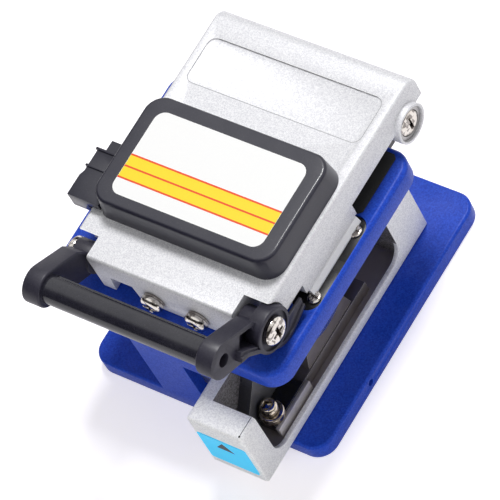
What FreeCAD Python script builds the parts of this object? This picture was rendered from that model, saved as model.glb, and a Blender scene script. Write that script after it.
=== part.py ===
"""Bench-top fibre cleaver: base, sliding blade carriage, hinged lid with a sprung anvil, and a handle.

Frame: the origin is the centre of the base's flat underside, +X to the right (the slider's side), +Y to the
back (the hinge's side) and +Z up. Lengths are in millimetres. Each function returns one sub-part in that frame.
"""
import FreeCAD, Part
import math
import os

V = FreeCAD.Vector

# ---------------------------------------------------------------- clearances
RUN_FIT = 0.05          # radial play of a shaft in its bore
HEAD_FIT = 0.1          # radial play of a sunk screw head
POCKET_GAP = 0.1        # play of an inset piece in its pocket
MOVE_GAP = 0.3          # air between pieces that pass each other
SLIDE_GAP = 0.4         # side play between the slider and the frame
SWEEP_GAP = 0.5         # air round a piece that rocks
OVERCUT = 1.0           # how far a cutting tool reaches past the face that it opens

# ---------------------------------------------------------------- base frame
base_w = 63.4           # width
base_d = 68.8           # depth
base_t = 4.2            # plate thickness
base_corner_r = 4.6     # corners seen from above
base_edge_r = 0.7       # rounding of the top edge
pedestal_w = 20.4       # upright block that carries the deck
pedestal_d = 57.4
bay_h = 27.9            # clear height between base plate and deck
guide_bay_play = 0.8    # room above and below the carriage in the pedestal's bay
side_hole_r = 0.9       # tapped hole in the right edge
side_hole_depth = 5.0
side_hole_y = 20.2      # from the front edge

# ---------------------------------------------------------------- deck
deck_d = 59.3
deck_t = 5.4
deck_corner_r = 5.0
deck_edge_r = 1.2
deck_screw_r = 1.5      # shank
deck_screw_head_r = 2.8
deck_screw_grip = 7.0   # thread in the pedestal
deck_screw_pitch_x = 11.0
deck_screw_gap = 1.7        # from the keeper plate to the front heads
deck_screw_inset = 10.3     # from the rear screws to the deck's rear face, at least
deck_screw_margin = 8.4     # and to the pedestal's rear face
screw_tip_gap = 1.0     # room under a screw's end
screw_sink = 0.1        # how far a flat head lies under the surface

# ---------------------------------------------------------------- slider
slider_w = 14.7
slider_l = 70.0
slider_h = 19.6
slider_inset = 7.5      # from the base's right edge to the slider's right face
slider_out = 10.8       # how far it stands out in front, ready to push
slider_travel = 10.8
slider_wall_left = 3.6
slider_wall_right = 1.0
slider_wall_front = 6.0
slider_wall_rear = 10.2
slider_floor = 1.4
slider_sill_h = 2.6     # height of the low side wall under the window
slider_window_r = 4.0
slider_edge_r = 0.8
front_label_t = 0.15
front_label_w = 12.9
front_label_h = 11.2
front_label_rise = 8.6      # its middle above the slider's underside
front_label_r = 0.6

# ---------------------------------------------------------------- linear guide
rail_w = 7.0            # across, vertical on this part
rail_t = 4.5
rail_l = 52.0
rail_z = 14.6           # centre line above the underside
rail_groove_r = 0.9
rail_groove_depth = 1.7     # groove's axis under the rail's top
rail_head_room = 0.5    # between the rail's top and the carriage's web
rail_screw_margin = 5.2
rail_screw_count = 4
rail_screw_seat = 2.2   # seat's depth under the rail's top
rail_screw_head_t = 1.8
carriage_w = 15.0
carriage_t = 6.6
carriage_web_t = 3.1
carriage_l = 30.0
carriage_back = 36.4    # from the slider's front face to the carriage's middle
carriage_edge_r = 0.5
carriage_screw_pitch_y = 18.0
carriage_screw_pitch_z = 9.9
carriage_screw_seat = 1.6   # depth in the slider's wall
carriage_screw_head_t = 1.4
guide_play = 0.1
guide_screw_r = 1.0
guide_screw_head_r = 1.9
guide_screw_grip = 3.0
guide_socket_r = 0.8
guide_socket_depth = 0.9

# ---------------------------------------------------------------- blade and its holder
blade_r = 11.4
blade_t = 1.0
blade_bore_r = 2.5
blade_bevel_w = 0.6     # width of the ground edge
blade_back = 35.4       # from the slider's front face to the blade's axis
blade_inset = 2.4       # from the slider's right face to the blade's mid plane
blade_side_gap = 0.15   # between blade and holder
fibre_below_deck = 0.5  # the fibre lies in a shallow channel
holder_w = 3.4
holder_foot_front = 4.8     # from the pocket's front wall
holder_foot_rear = 14.0     # behind the blade's axis
holder_foot_h = 3.3
holder_foot_lap = 0.45  # how far the foot stands out to the right of the upright
holder_head_r = 4.6
holder_front_run = 5.0  # foot of the upright's sloping front, ahead of its head
holder_rear_run = 4.0
axle_head_rise = 1.0    # head's radius over the axle's
axle_head_t = 1.0
axle_slot_w = 0.6
axle_slot_depth = 0.5
pocket_plate_t = 0.6
lock_screw_r = 2.2
lock_screw_head_t = 2.0
lock_screw_back = 13.35     # from the slider's front face
lock_screw_inset = 5.3      # from the slider's right face
lock_shank_r = 1.0
lock_socket_r = 1.2
lock_socket_depth = 1.3
lock_edge_r = 0.3
cam_ring_r = 2.9
cam_ring_t = 1.6
cam_ring_edge_r = 0.4
cam_ring_throw_x = 0.5      # its centre, to the right of the screw's
cam_ring_throw_y = 0.2      # and in front of it
wedge_w = 3.3
wedge_l = 24.0
wedge_front_h = 2.4     # height of its front end over the pocket's floor
wedge_slope = 50.5      # degrees
wedge_drop = 0.4        # its top under the slider's top
side_plate_t = 1.0
side_plate_l = 13.1
side_plate_front = 4.3  # from the pocket's front wall
side_plate_drop = 0.1   # its top under the holder's foot

# ---------------------------------------------------------------- fibre clamps
clamp_w = 7.2
clamp_l = 24.4
clamp_t = 2.4
clamp_corner_r = 3.0
clamp_drop = 0.5        # below the deck's top
fibre_y = 29.5          # fibre line, from the front edge
clamp_screw_pitch = 17.4
clamp_screw_shift = 1.6     # the right pair, to the right of the plate's middle
clamp_screw_r = 0.9
clamp_screw_head_r = 1.6
clamp_screw_head_t = 0.6
clamp_screw_grip = 2.0
pad_w = 2.6             # rubber pad along the fibre's cross direction
pad_t = 1.0
blade_slot_w = 2.4
blade_slot_wall = 0.6   # deck left between blade slot and clamp plate

# ---------------------------------------------------------------- fibre adapter, keeper and stop
adapter_w = 9.0
adapter_t = 2.2
adapter_groove = 0.5
adapter_inset = 2.0     # from the base's left edge
adapter_gap = 2.0       # to the left clamp plate
adapter_screw_margin = 5.0
adapter_head_r = 0.95
adapter_shank_r = 0.54
keeper_w = 20.0
keeper_d = 5.0
keeper_t = 2.0
keeper_back = 1.0       # behind the lid's front wall
stop_l = 5.0
stop_d = 6.0
stop_inset = 0.5        # from the lid's right wall to the stop
stop_from_rear = 2.4    # from the deck's rear face
stop_corner_r = 0.5

# ---------------------------------------------------------------- lid
lid_w = 50.7
lid_inset = 3.8         # from the base's right edge to the lid's right face
lid_h = 12.1
lid_gap = 0.4           # between lid foot and deck
lid_wall = 2.6
lid_front_inset = 5.4   # from the base's front edge to the lid's front face
lid_rear_r = 3.5
lid_skirt_h = 7.4       # height of the side walls
lid_edge_r = 0.7
tab_front = 20.4        # the right wall's lower tab, from the front edge
tab_rear = 41.4
tab_front_r = 1.5
tab_rear_r = 0.8
tab_chamfer = 1.3
tongue_side_left = 5.7  # width of the notch beside the tongue
tongue_side_right = 6.5
cheek_t = 5.0           # tongue's side walls
scallop_wall = 1.2      # metal behind the handle's scallop
notch_w = 7.3           # slot in the front wall
notch_h = 5.6
notch_from_left = 3.2
notch_lean = 0.7
panel_l = 45.8
panel_d = 11.8
panel_inset = 8.0       # from the lid's rear face
panel_depth = 0.2
panel_r = 2.0
front_screw_in = 15.2   # from the tongue's left edge
front_screw_pitch = 11.8
front_screw_rise = 3.8  # above the lid's foot
front_screw_r = 1.1
front_screw_head_r = 2.75
front_screw_head_t = 1.7
front_screw_grip = 2.5
washer_r = 2.6
washer_t = 0.7
magnet_t = 4.0
magnet_drop = 3.0       # under the lid's roof
magnet_hole_depth = 3.0

# ---------------------------------------------------------------- hinge
hinge_back = 4.8        # pin's axis behind the deck's rear face
hinge_overhang = 7.5    # lid behind the pin's axis
pin_below_top = 8.3
pin_r = 1.8
pin_head_r = 3.1
pin_head_t = 1.0
pin_head_edge_r = 0.3
pin_slot_w = 0.7
pin_slot_depth = 0.5
hinge_ring_r = 4.0
hinge_ring_t = 0.7
hinge_ring_fit = 0.02
ear_r = 4.7
ear_t = 1.5
ear_floor = 0.2         # seat of the pin's head outside the lid's face
barrel_r = 4.0
bracket_w = 40.0
bracket_t = 3.6
bracket_heel = 0.8      # how far the bracket's rear face runs up the barrel
bracket_screw_pitch = 14.4
bracket_screw_head_t = 1.2
bracket_screw_grip = 6.0

# ---------------------------------------------------------------- upper clamp
upper_block_d = 11.0
upper_block_edge_r = 0.6
upper_block_web = 1.2   # between the block's underside and the pads' tops
upper_block_inset = 0.5
upper_pad_inset = 0.2

# ---------------------------------------------------------------- anvil and its cover
cover_h = 6.3
cover_side_inset = 1.0
cover_front = 15.5
cover_l = 29.4
cover_corner_r = 4.6
cover_draft = 0.7
cover_rim_r = 0.9
cover_wall = 1.3
label_w = 39.8
label_d = 21.6
label_front = 19.1
label_corner_r = 2.6
label_t = 0.2
arm_w = 6.0
arm_t = 2.6
arm_gap = 0.7           # room under the arm for its rocking
arm_end_gap = 0.2
arm_pivot_in = 13.1     # from the lid's left face
arm_pivot_r = 1.0
arm_boss_wall = 1.1
lug_r = 2.0
lug_t = 1.4
lug_gap = 0.6
anvil_w = 3.0
anvil_pad_t = 2.0
anvil_pad_r = 0.4
anvil_gap = 0.25        # over the fibre
thumb_w = 15.2
thumb_out = 5.45        # left of the lid
thumb_front = 0.8       # behind the cover's front
thumb_drop = 2.0        # its underside under the lid's top
thumb_top_drop = 0.6    # its top under the arm's
thumb_shoulder = 0.5    # small step in its left side
thumb_shoulder_y0 = 5.2
thumb_shoulder_y1 = 6.5
thumb_step = 2.45       # large step at the second rib
thumb_rib_ys = (7.8, 12.2)
thumb_rib_w = 0.6
thumb_rib_h = 0.45
thumb_rib_inset = 0.3
thumb_lap = 2.0         # how far it reaches in under the cover
mouth_rise = 0.9        # room over the arm in the cover's mouth
spring_from_blade = 8.0
spring_r = 1.7
spring_wire_r = 0.25
spring_turns = 4
spring_seat_depth = 1.2

# ---------------------------------------------------------------- handle
pivot_y = 7.8           # from the front edge
pivot_below_top = 5.0   # below the lid's top
hub_r = 3.4
flange_r = 5.5          # ring round the right pivot screw
flange_t = 3.5
flange_out = 1.5        # outside the lid's face
flange_rim = 0.9
flange_sink = 0.7
boss_r = 4.4
boss_w = 4.4
boss_edge_r = 0.5
boss_reach = 13.1       # forward of the pivot
boss_rise = 8.2         # above the pivot
arm_crest = 9.5         # how far the arm's straight back runs from the boss
arm_recess_start = 5.4  # recess in the arm's outer face, from the boss's axis
arm_recess_end = 11.4
arm_recess_high = 3.3   # above the line between boss and pivot
arm_recess_low = 1.8
arm_recess_depth = 3.0
bar_r = 3.3
bar_bore_r = 1.6
bar_groove_r = 0.7
bar_groove_out = 0.35   # groove's axis outside the bar's surface
bar_groove_turn = 35.0  # degrees above the rearward direction
bar_groove_margin = 1.0
rod_sink = 2.6          # its ends inside the bosses
tail_t = 1.2
tail_foot_gap = 0.45    # between the cam tail and the deck
tail_front = 1.6        # start of the cam's curve, ahead of the pivot
tail_front_drop = 5.1   # and under it
tail_heel = 4.8         # end of the curve, behind the pivot
tail_reach = 10.1
tail_tip_low = 5.5      # tip's lower corner under the pivot
tail_tip_high = 3.1
tail_knee = 8.6         # bend in the tail's front edge, ahead of the pivot
tail_knee_rise = 3.3
tail_band = 1.4         # width of the tail beside the arm
tail_rim_w = 0.9
tail_rim_h = 0.5
web_lap = 0.8           # how far the tail's web reaches into the arm
pivot_screw_r = 1.6
pivot_head_r = 3.4
pivot_head_t = 1.2
pivot_thread = 4.4

# ---------------------------------------------------------------- derived: base, deck, slider
x_left, x_right = -base_w / 2, base_w / 2
y_front, y_rear = -base_d / 2, base_d / 2
z_bay = base_t + bay_h
z_deck = z_bay + deck_t
z_fibre = z_deck - fibre_below_deck
y_fibre = y_front + fibre_y
deck_y1 = y_front + deck_d

slider_x1 = x_right - slider_inset
slider_x0 = slider_x1 - slider_w
slider_y0 = y_front - slider_out
slider_y1 = slider_y0 + slider_l
slider_z0 = base_t + MOVE_GAP
slider_z1 = slider_z0 + slider_h
slider_sill = slider_z0 + slider_sill_h
pocket_x0 = slider_x0 + slider_wall_left
pocket_x1 = slider_x1 - slider_wall_right
pocket_y0 = slider_y0 + slider_wall_front
pocket_y1 = slider_y1 - slider_wall_rear
pocket_z0 = slider_z0 + slider_floor
pocket_top = pocket_z0 + pocket_plate_t

pedestal_x1 = slider_x0 - SLIDE_GAP
pedestal_x0 = pedestal_x1 - pedestal_w
pedestal_y1 = y_front + pedestal_d
keeper_y0 = y_front + lid_front_inset + lid_wall + keeper_back
keeper_y1 = keeper_y0 + keeper_d
deck_screw_xc = (pedestal_x0 + pedestal_x1) / 2
deck_screw_ys = (keeper_y1 + deck_screw_gap + deck_screw_head_r,
                 min(deck_y1 - deck_screw_inset, pedestal_y1 - deck_screw_margin))
deck_screw_places = [(deck_screw_xc + side * deck_screw_pitch_x / 2, y)
                     for side in (-1, 1) for y in deck_screw_ys]

carriage_x1 = slider_x0
carriage_x0 = carriage_x1 - carriage_t
carriage_yc = slider_y0 + carriage_back
carriage_screw_places = [(carriage_yc + sy * carriage_screw_pitch_y / 2,
                          rail_z + sz * carriage_screw_pitch_z / 2) for sy in (-1, 1) for sz in (-1, 1)]
rail_x1 = carriage_x1 - carriage_web_t - rail_head_room
rail_x0 = rail_x1 - rail_t
rail_y0 = y_front + (pedestal_d - rail_l) / 2
rail_y1 = rail_y0 + rail_l
rail_screw_pitch = (rail_l - 2 * rail_screw_margin) / (rail_screw_count - 1)
rail_screw_ys = [rail_y0 + rail_screw_margin + k * rail_screw_pitch for k in range(rail_screw_count)]

# ---------------------------------------------------------------- derived: blade, clamps, adapter
blade_x = slider_x1 - blade_inset
blade_y = slider_y0 + blade_back
blade_z = z_fibre - blade_r
holder_x1 = blade_x - blade_t / 2 - blade_side_gap
holder_x0 = holder_x1 - holder_w
wedge_x1 = pocket_x0 + wedge_w
foot_x0 = wedge_x1 + POCKET_GAP
foot_x1 = holder_x1 + holder_foot_lap
foot_top = pocket_top + holder_foot_h
lock_x = slider_x1 - lock_screw_inset
lock_y = slider_y0 + lock_screw_back
lock_ring_t = cam_ring_t
lock_z = foot_top + cam_ring_t
axle_r = blade_bore_r - RUN_FIT
axle_head_r = axle_r + axle_head_rise

clamp_z1 = z_deck - clamp_drop
clamp_z0 = clamp_z1 - clamp_t
clamp_y0, clamp_y1 = y_fibre - clamp_l / 2, y_fibre + clamp_l / 2
clamp_right_x0 = blade_x + blade_slot_w / 2 + blade_slot_wall
clamp_left_x1 = blade_x - blade_slot_w / 2 - blade_slot_wall
clamp_spans = {"right": (clamp_right_x0, clamp_right_x0 + clamp_w),
               "left": (clamp_left_x1 - clamp_w, clamp_left_x1)}
clamp_screw_places = [((clamp_spans[side][0] + clamp_spans[side][1]) / 2 + shift,
                       y_fibre + sy * clamp_screw_pitch / 2)
                      for side, shift in (("right", clamp_screw_shift), ("left", 0.0)) for sy in (-1, 1)]
adapter_x0 = x_left + adapter_inset
adapter_x1 = clamp_spans["left"][0] - adapter_gap
adapter_z0 = z_deck - adapter_t
adapter_screw_xs = (adapter_x0 + adapter_screw_margin, adapter_x1 - adapter_screw_margin)

# ---------------------------------------------------------------- derived: lid and hinge
lid_x1 = x_right - lid_inset
lid_x0 = lid_x1 - lid_w
lid_xc = (lid_x0 + lid_x1) / 2
lid_z0 = z_deck + lid_gap
lid_z1 = lid_z0 + lid_h
lid_y0 = y_front + lid_front_inset
lid_roof = lid_z1 - lid_wall
lid_skirt = lid_z1 - lid_skirt_h
pin_y = deck_y1 + hinge_back
pin_z = lid_z1 - pin_below_top
lid_y1 = pin_y + hinge_overhang
panel_y1 = lid_y1 - panel_inset
tongue_x0 = lid_x0 + tongue_side_left
tongue_x1 = lid_x1 - tongue_side_right
piv_y = y_front + pivot_y
piv_z = lid_z1 - pivot_below_top
scallop_r = flange_r + SLIDE_GAP
front_block_y1 = piv_y + scallop_r + scallop_wall
front_screw_xs = (tongue_x0 + front_screw_in, tongue_x0 + front_screw_in + front_screw_pitch)
front_screw_z = lid_z0 + front_screw_rise
pin_seat_r = hinge_ring_r + HEAD_FIT

bracket_y0 = deck_y1
bracket_y1 = bracket_y0 + bracket_t
bracket_x0 = lid_xc - bracket_w / 2
bracket_x1 = lid_xc + bracket_w / 2
bracket_screw_xs = [lid_xc + k * bracket_screw_pitch for k in (-1, 0, 1)]
bracket_screw_z = (z_bay + z_deck) / 2
bracket_seat_y = bracket_y1 - bracket_screw_head_t
keeper_x0 = lid_xc - keeper_w / 2
keeper_x1 = keeper_x0 + keeper_w
magnet_y0 = lid_y0 + lid_wall
magnet_z0 = z_deck + MOVE_GAP
stop_x1 = lid_x1 - lid_wall - stop_inset
stop_y1 = deck_y1 - stop_from_rear

# ---------------------------------------------------------------- derived: anvil and cover
cover_x0 = lid_x0 + cover_side_inset
cover_x1 = lid_x1 - cover_side_inset
cover_y0 = y_front + cover_front
cover_y1 = cover_y0 + cover_l
cover_z1 = lid_z1 + cover_h
cover_shell = cover_wall + cover_draft
label_x0, label_x1 = lid_xc - label_w / 2, lid_xc + label_w / 2
label_y0 = y_front + label_front
label_y1 = label_y0 + label_d
arm_px = lid_x0 + arm_pivot_in
arm_y0, arm_y1 = y_fibre - arm_w / 2, y_fibre + arm_w / 2
arm_z0 = lid_z1 + arm_gap
arm_z1 = arm_z0 + arm_t
arm_pz = (arm_z0 + arm_z1) / 2
arm_boss_r = arm_pivot_r + arm_boss_wall
arm_x1 = blade_x + anvil_w / 2 - arm_end_gap
leg_x0 = blade_x - anvil_w / 2 + arm_end_gap
anvil_z0 = z_fibre + anvil_gap
anvil_z1 = anvil_z0 + anvil_pad_t
thumb_x0 = lid_x0 - thumb_out
thumb_y0 = cover_y0 + thumb_front
thumb_y1 = thumb_y0 + thumb_w
thumb_z0 = lid_z1 - thumb_drop
thumb_z1 = arm_z1 - thumb_top_drop
spring_x = blade_x - spring_from_blade
spring_seat_z = arm_z1 - spring_seat_depth
upper_block_x0 = clamp_spans["left"][0] + upper_block_inset
upper_block_x1 = lid_x1 - lid_wall
upper_pad_z0 = z_fibre + MOVE_GAP
upper_block_z0 = upper_pad_z0 + pad_t + upper_block_web
anvil_slot = anvil_w / 2 + SWEEP_GAP

# ---------------------------------------------------------------- derived: handle
boss_y, boss_z = piv_y - boss_reach, piv_z + boss_rise
boss_x1 = lid_x1 - MOVE_GAP
boss_x0 = boss_x1 - boss_w
flange_x1 = lid_x1 + flange_out
flange_x0 = flange_x1 - flange_t
tail_x0 = lid_x1 + MOVE_GAP
tail_x1 = tail_x0 + tail_t
tail_foot_z = z_deck + tail_foot_gap
bar_x0 = lid_x0 + lid_x1 - boss_x0


# ================================================================ helpers
def box(x0, x1, y0, y1, z0, z1):
    """Block between two corners."""
    return Part.makeBox(x1 - x0, y1 - y0, z1 - z0, V(x0, y0, z0))


def rod(axis, r, start, end, c1, c2):
    """Cylinder along x, y or z from start to end; c1 and c2 are its other two coordinates in order."""
    place = {"x": (V(start, c1, c2), V(1, 0, 0)),
             "y": (V(c1, start, c2), V(0, 1, 0)),
             "z": (V(c1, c2, start), V(0, 0, 1))}[axis]
    return Part.makeCylinder(r, end - start, place[0], place[1])


def fillet(shape, r, chosen):
    """Round the edges that the test picks, or none if it picks none."""
    edges = [e for e in shape.Edges if chosen(e)]
    return shape.makeFillet(r, edges) if edges else shape


def along(edge, axis):
    """True for a straight edge parallel to x, y or z."""
    if not isinstance(edge.Curve, Part.Line):
        return False
    d = edge.Curve.Direction
    return abs(getattr(d, axis)) > 0.999


def at(edge, axis, value):
    """True when the whole edge lies in the plane axis = value."""
    b = edge.BoundBox
    low, high = getattr(b, axis.upper() + "Min"), getattr(b, axis.upper() + "Max")
    return abs(low - value) < 1e-4 and abs(high - value) < 1e-4


def tablet(x0, x1, y0, y1, z0, z1, r):
    """Block with rounded corners as seen from above."""
    return fillet(box(x0, x1, y0, y1, z0, z1), r, lambda e: along(e, "z"))


def prism(axis, outline, start, end):
    """Extrude an outline along x (points are y, z), along y (points are x, z) or along z (points are x, y).

    An outline item is a point, or a pair of points: the middle and the end of an arc.
    """
    def to3(p):
        return {"x": V(start, p[0], p[1]), "y": V(p[0], start, p[1]), "z": V(p[0], p[1], start)}[axis]
    edges, here = [], outline[0]
    for item in outline[1:] + [outline[0]]:
        if isinstance(item[0], tuple):
            middle, target = item
            edges.append(Part.Arc(to3(here), to3(middle), to3(target)).toShape())
        else:
            target = item
            if math.dist(here, target) > 1e-6:
                edges.append(Part.LineSegment(to3(here), to3(target)).toShape())
        here = target
    step = {"x": V(1, 0, 0), "y": V(0, 1, 0), "z": V(0, 0, 1)}[axis] * (end - start)
    return Part.Face(Part.Wire(edges)).extrude(step)


def fuse(first, *others):
    """Join solids and drop the seams between them."""
    return first.multiFuse(list(others)).removeSplitter()


def cut(first, *tools):
    """Take tools out of a solid."""
    return first.cut(Part.makeCompound(list(tools)))


def on_circle(centre, r, degrees):
    """Point of a circle, the angle measured from the first axis."""
    a = math.radians(degrees)
    return (centre[0] + r * math.cos(a), centre[1] + r * math.sin(a))


def hexagon(x, y, z, r, depth):
    """Hexagonal tool with its corners at r, standing down from z."""
    corners = [on_circle((x, y), r, 60 * k) for k in range(6)]
    return prism("z", corners, z - depth, z + OVERCUT)


def pan_screw(axis, seat, way, c1, c2, head_r, head_t, shank_r, shank_l):
    """Screw with a domed, socketed head that stands along way (+1 or -1) from seat; its shank points back."""
    top = seat + way * head_t
    dome_t = head_t * 0.35
    socket_r, socket_floor = head_r * 0.42, seat + way * head_t * 0.4
    head = rod(axis, head_r, *sorted((seat, top)), c1, c2)
    head = fillet(head, dome_t, lambda e: at(e, axis, top))
    socket = rod(axis, socket_r, *sorted((socket_floor, top + way * OVERCUT)), c1, c2)
    shank = rod(axis, shank_r, *sorted((seat, seat - way * shank_l)), c1, c2)
    return cut(fuse(head, shank), socket)


def countersunk(x, y, z_top, head_r, shank_r, length):
    """Flat-head screw standing down from z_top, with a round socket."""
    head_h = head_r - shank_r
    head = Part.makeCone(shank_r, head_r, head_h, V(x, y, z_top - head_h))
    shank = rod("z", shank_r, z_top - length, z_top - head_h, x, y)
    socket_r, socket_depth = shank_r * 0.7, head_h * 0.8
    socket = rod("z", socket_r, z_top - socket_depth, z_top + OVERCUT, x, y)
    return cut(fuse(head, shank), socket)


def countersink(x, y, z_top, head_r, shank_r, length):
    """Hole for a flat-head screw."""
    head_h = head_r - shank_r
    head = Part.makeCone(shank_r, head_r, head_h, V(x, y, z_top - head_h))
    return fuse(head, rod("z", shank_r, z_top - length, z_top - head_h, x, y),
                rod("z", head_r, z_top, z_top + OVERCUT, x, y))


def mirrored(shape):
    """The same piece on the lid's other side."""
    return shape.mirror(V(lid_xc, 0, 0), V(1, 0, 0))


# ================================================================ frame
def base_frame():
    """Base plate with its upright pedestal, one casting, and the bay for the guide in the pedestal's side."""
    plate = tablet(x_left, x_right, y_front, y_rear, 0, base_t, base_corner_r)
    plate = fillet(plate, base_edge_r, lambda e: at(e, "z", base_t))
    pedestal = box(pedestal_x0, pedestal_x1, y_front, pedestal_y1, 0, z_bay)
    half_bay = carriage_w / 2 + guide_bay_play
    guide_bay = box(rail_x0, pedestal_x1 + OVERCUT, rail_y0 - slider_travel, pedestal_y1 + OVERCUT,
                    rail_z - half_bay, rail_z + half_bay)
    side_hole = rod("x", side_hole_r, x_right - side_hole_depth, x_right + OVERCUT, y_front + side_hole_y,
                    base_t / 2)
    deck_holes = [rod("z", deck_screw_r, z_bay - deck_screw_grip - screw_tip_gap, z_bay + OVERCUT, x, y)
                  for x, y in deck_screw_places]
    rail_hole_end = rail_x0 - guide_screw_grip - screw_tip_gap
    rail_holes = [rod("x", guide_screw_r, rail_hole_end, rail_x0 + OVERCUT, y, rail_z) for y in rail_screw_ys]
    return cut(fuse(plate, pedestal), guide_bay, side_hole, *deck_holes, *rail_holes)


def deck():
    """Upper plate: carries the clamps, and is slotted for the blade."""
    plate = tablet(x_left, x_right, y_front, deck_y1, z_bay, z_deck, deck_corner_r)
    plate = fillet(plate, deck_edge_r, lambda e: at(e, "z", z_deck))
    top = z_deck + OVERCUT
    slot_r = blade_slot_w / 2
    slot_reach = math.sqrt(blade_r ** 2 - (blade_z - z_bay) ** 2) + 2 * MOVE_GAP
    slot = tablet(blade_x - slot_r, blade_x + slot_r, blade_y - slot_reach,
                  blade_y + slider_travel + slot_reach, z_bay - OVERCUT, top, slot_r - POCKET_GAP)
    clamp_seats = [tablet(x0 - POCKET_GAP, x1 + POCKET_GAP, clamp_y0 - POCKET_GAP, clamp_y1 + POCKET_GAP,
                          clamp_z0, top, clamp_corner_r) for x0, x1 in clamp_spans.values()]
    half_relief = arm_w / 2 + SWEEP_GAP + MOVE_GAP
    anvil_relief = box(clamp_left_x1 - OVERCUT, clamp_right_x0 + OVERCUT, y_fibre - half_relief,
                       y_fibre + half_relief, clamp_z1 - 2 * MOVE_GAP, top)
    half_adapter = adapter_w / 2 + POCKET_GAP
    adapter_seat = box(adapter_x0, adapter_x1, y_fibre - half_adapter, y_fibre + half_adapter, adapter_z0,
                       top)
    keeper_seat = box(keeper_x0, keeper_x1, keeper_y0, keeper_y1, z_deck - keeper_t, top)
    holes = [countersink(x, y, z_deck, deck_screw_head_r, deck_screw_r, deck_t + OVERCUT)
             for x, y in deck_screw_places]
    holes += [rod("z", clamp_screw_r, clamp_z0 - clamp_screw_grip, clamp_z0 + OVERCUT, x, y)
              for x, y in clamp_screw_places]
    holes += [rod("z", clamp_screw_r, adapter_z0 - clamp_screw_grip, adapter_z0 + OVERCUT, x, y_fibre)
              for x in adapter_screw_xs]
    holes += [rod("y", guide_screw_r, deck_y1 - bracket_screw_grip, deck_y1 + OVERCUT, x, bracket_screw_z)
              for x in bracket_screw_xs]
    return cut(plate, slot, *clamp_seats, anvil_relief, adapter_seat, keeper_seat, *holes)


def deck_screws():
    """Four flat-head screws that hold the deck on the pedestal."""
    return [countersunk(x, y, z_deck - screw_sink, deck_screw_head_r - HEAD_FIT, deck_screw_r,
                        deck_t + deck_screw_grip) for x, y in deck_screw_places]


def guide_rail():
    """Miniature guide rail, waisted along both sides, on the floor of the pedestal's bay."""
    z0, z1 = rail_z - rail_w / 2, rail_z + rail_w / 2
    rail = box(rail_x0, rail_x1, rail_y0, rail_y1, z0, z1)
    grooves = [rod("y", rail_groove_r, rail_y0 - OVERCUT, rail_y1 + OVERCUT, rail_x1 - rail_groove_depth, z)
               for z in (z0, z1)]
    seat, top = rail_x1 - rail_screw_seat, rail_x1 + OVERCUT
    holes = [fuse(rod("x", guide_screw_head_r + RUN_FIT, seat, top, y, rail_z),
                  rod("x", guide_screw_r, rail_x0 - OVERCUT, rail_x1, y, rail_z)) for y in rail_screw_ys]
    return cut(rail, *grooves, *holes)


def rail_screws():
    """Socket screws sunk in the rail."""
    seat = rail_x1 - rail_screw_seat
    top = seat + rail_screw_head_t
    screws = []
    for y in rail_screw_ys:
        head = rod("x", guide_screw_head_r, seat, top, y, rail_z)
        shank = rod("x", guide_screw_r, rail_x0 - guide_screw_grip, seat, y, rail_z)
        socket = rod("x", guide_socket_r, top - guide_socket_depth, top + OVERCUT, y, rail_z)
        screws.append(cut(fuse(head, shank), socket))
    return screws


def clamp_base(side):
    """Round-cornered lower clamp plate on one side of the blade slot."""
    x0, x1 = clamp_spans[side]
    plate = tablet(x0, x1, clamp_y0, clamp_y1, clamp_z0, clamp_z1, clamp_corner_r)
    seat = box(x0 - OVERCUT, x1 + OVERCUT, y_fibre - pad_w / 2, y_fibre + pad_w / 2, clamp_z1 - pad_t,
               clamp_z1 + OVERCUT)
    holes = [rod("z", clamp_screw_r, clamp_z0 - OVERCUT, clamp_z1 + OVERCUT, x, y)
             for x, y in clamp_screw_places if x0 < x < x1]
    return cut(plate, seat, *holes)


def clamp_screws():
    """Small domed screws, two to each lower clamp plate."""
    return [pan_screw("z", clamp_z1, 1, x, y, clamp_screw_head_r, clamp_screw_head_t, clamp_screw_r,
                      clamp_t + clamp_screw_grip) for x, y in clamp_screw_places]


def lower_pads():
    """Rubber strips in the lower clamp plates, level with the fibre."""
    return [box(x0, x1, y_fibre - pad_w / 2, y_fibre + pad_w / 2, clamp_z1 - pad_t, z_fibre)
            for x0, x1 in clamp_spans.values()]


def adapter_plate():
    """Grooved guide that leads the fibre in from the left."""
    plate = box(adapter_x0, adapter_x1, y_fibre - adapter_w / 2, y_fibre + adapter_w / 2, adapter_z0, z_deck)
    groove = prism("x", [(y_fibre - adapter_groove, z_deck), (y_fibre, z_deck - adapter_groove),
                         (y_fibre + adapter_groove, z_deck)], adapter_x0 - OVERCUT, adapter_x1 + OVERCUT)
    sinks = [countersink(x, y_fibre, z_deck, clamp_screw_head_r, clamp_screw_r, adapter_t + OVERCUT)
             for x in adapter_screw_xs]
    return cut(plate, groove, *sinks)


def adapter_screws():
    """Two flat-head screws, sunk below the groove."""
    top = z_deck - adapter_groove - screw_sink
    return [countersunk(x, y_fibre, top, adapter_head_r, adapter_shank_r, adapter_t + clamp_screw_grip / 2)
            for x in adapter_screw_xs]


def keeper_plate():
    """Steel plate flush in the deck, under the lid's magnet."""
    return box(keeper_x0, keeper_x1, keeper_y0, keeper_y1, z_deck - keeper_t, z_deck)


def lid_stop():
    """Rubber block on the deck that the lid's roof comes down on."""
    block = box(stop_x1 - stop_l, stop_x1, stop_y1 - stop_d, stop_y1, z_deck, lid_roof - MOVE_GAP)
    return fillet(block, stop_corner_r, lambda e: along(e, "z"))


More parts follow.
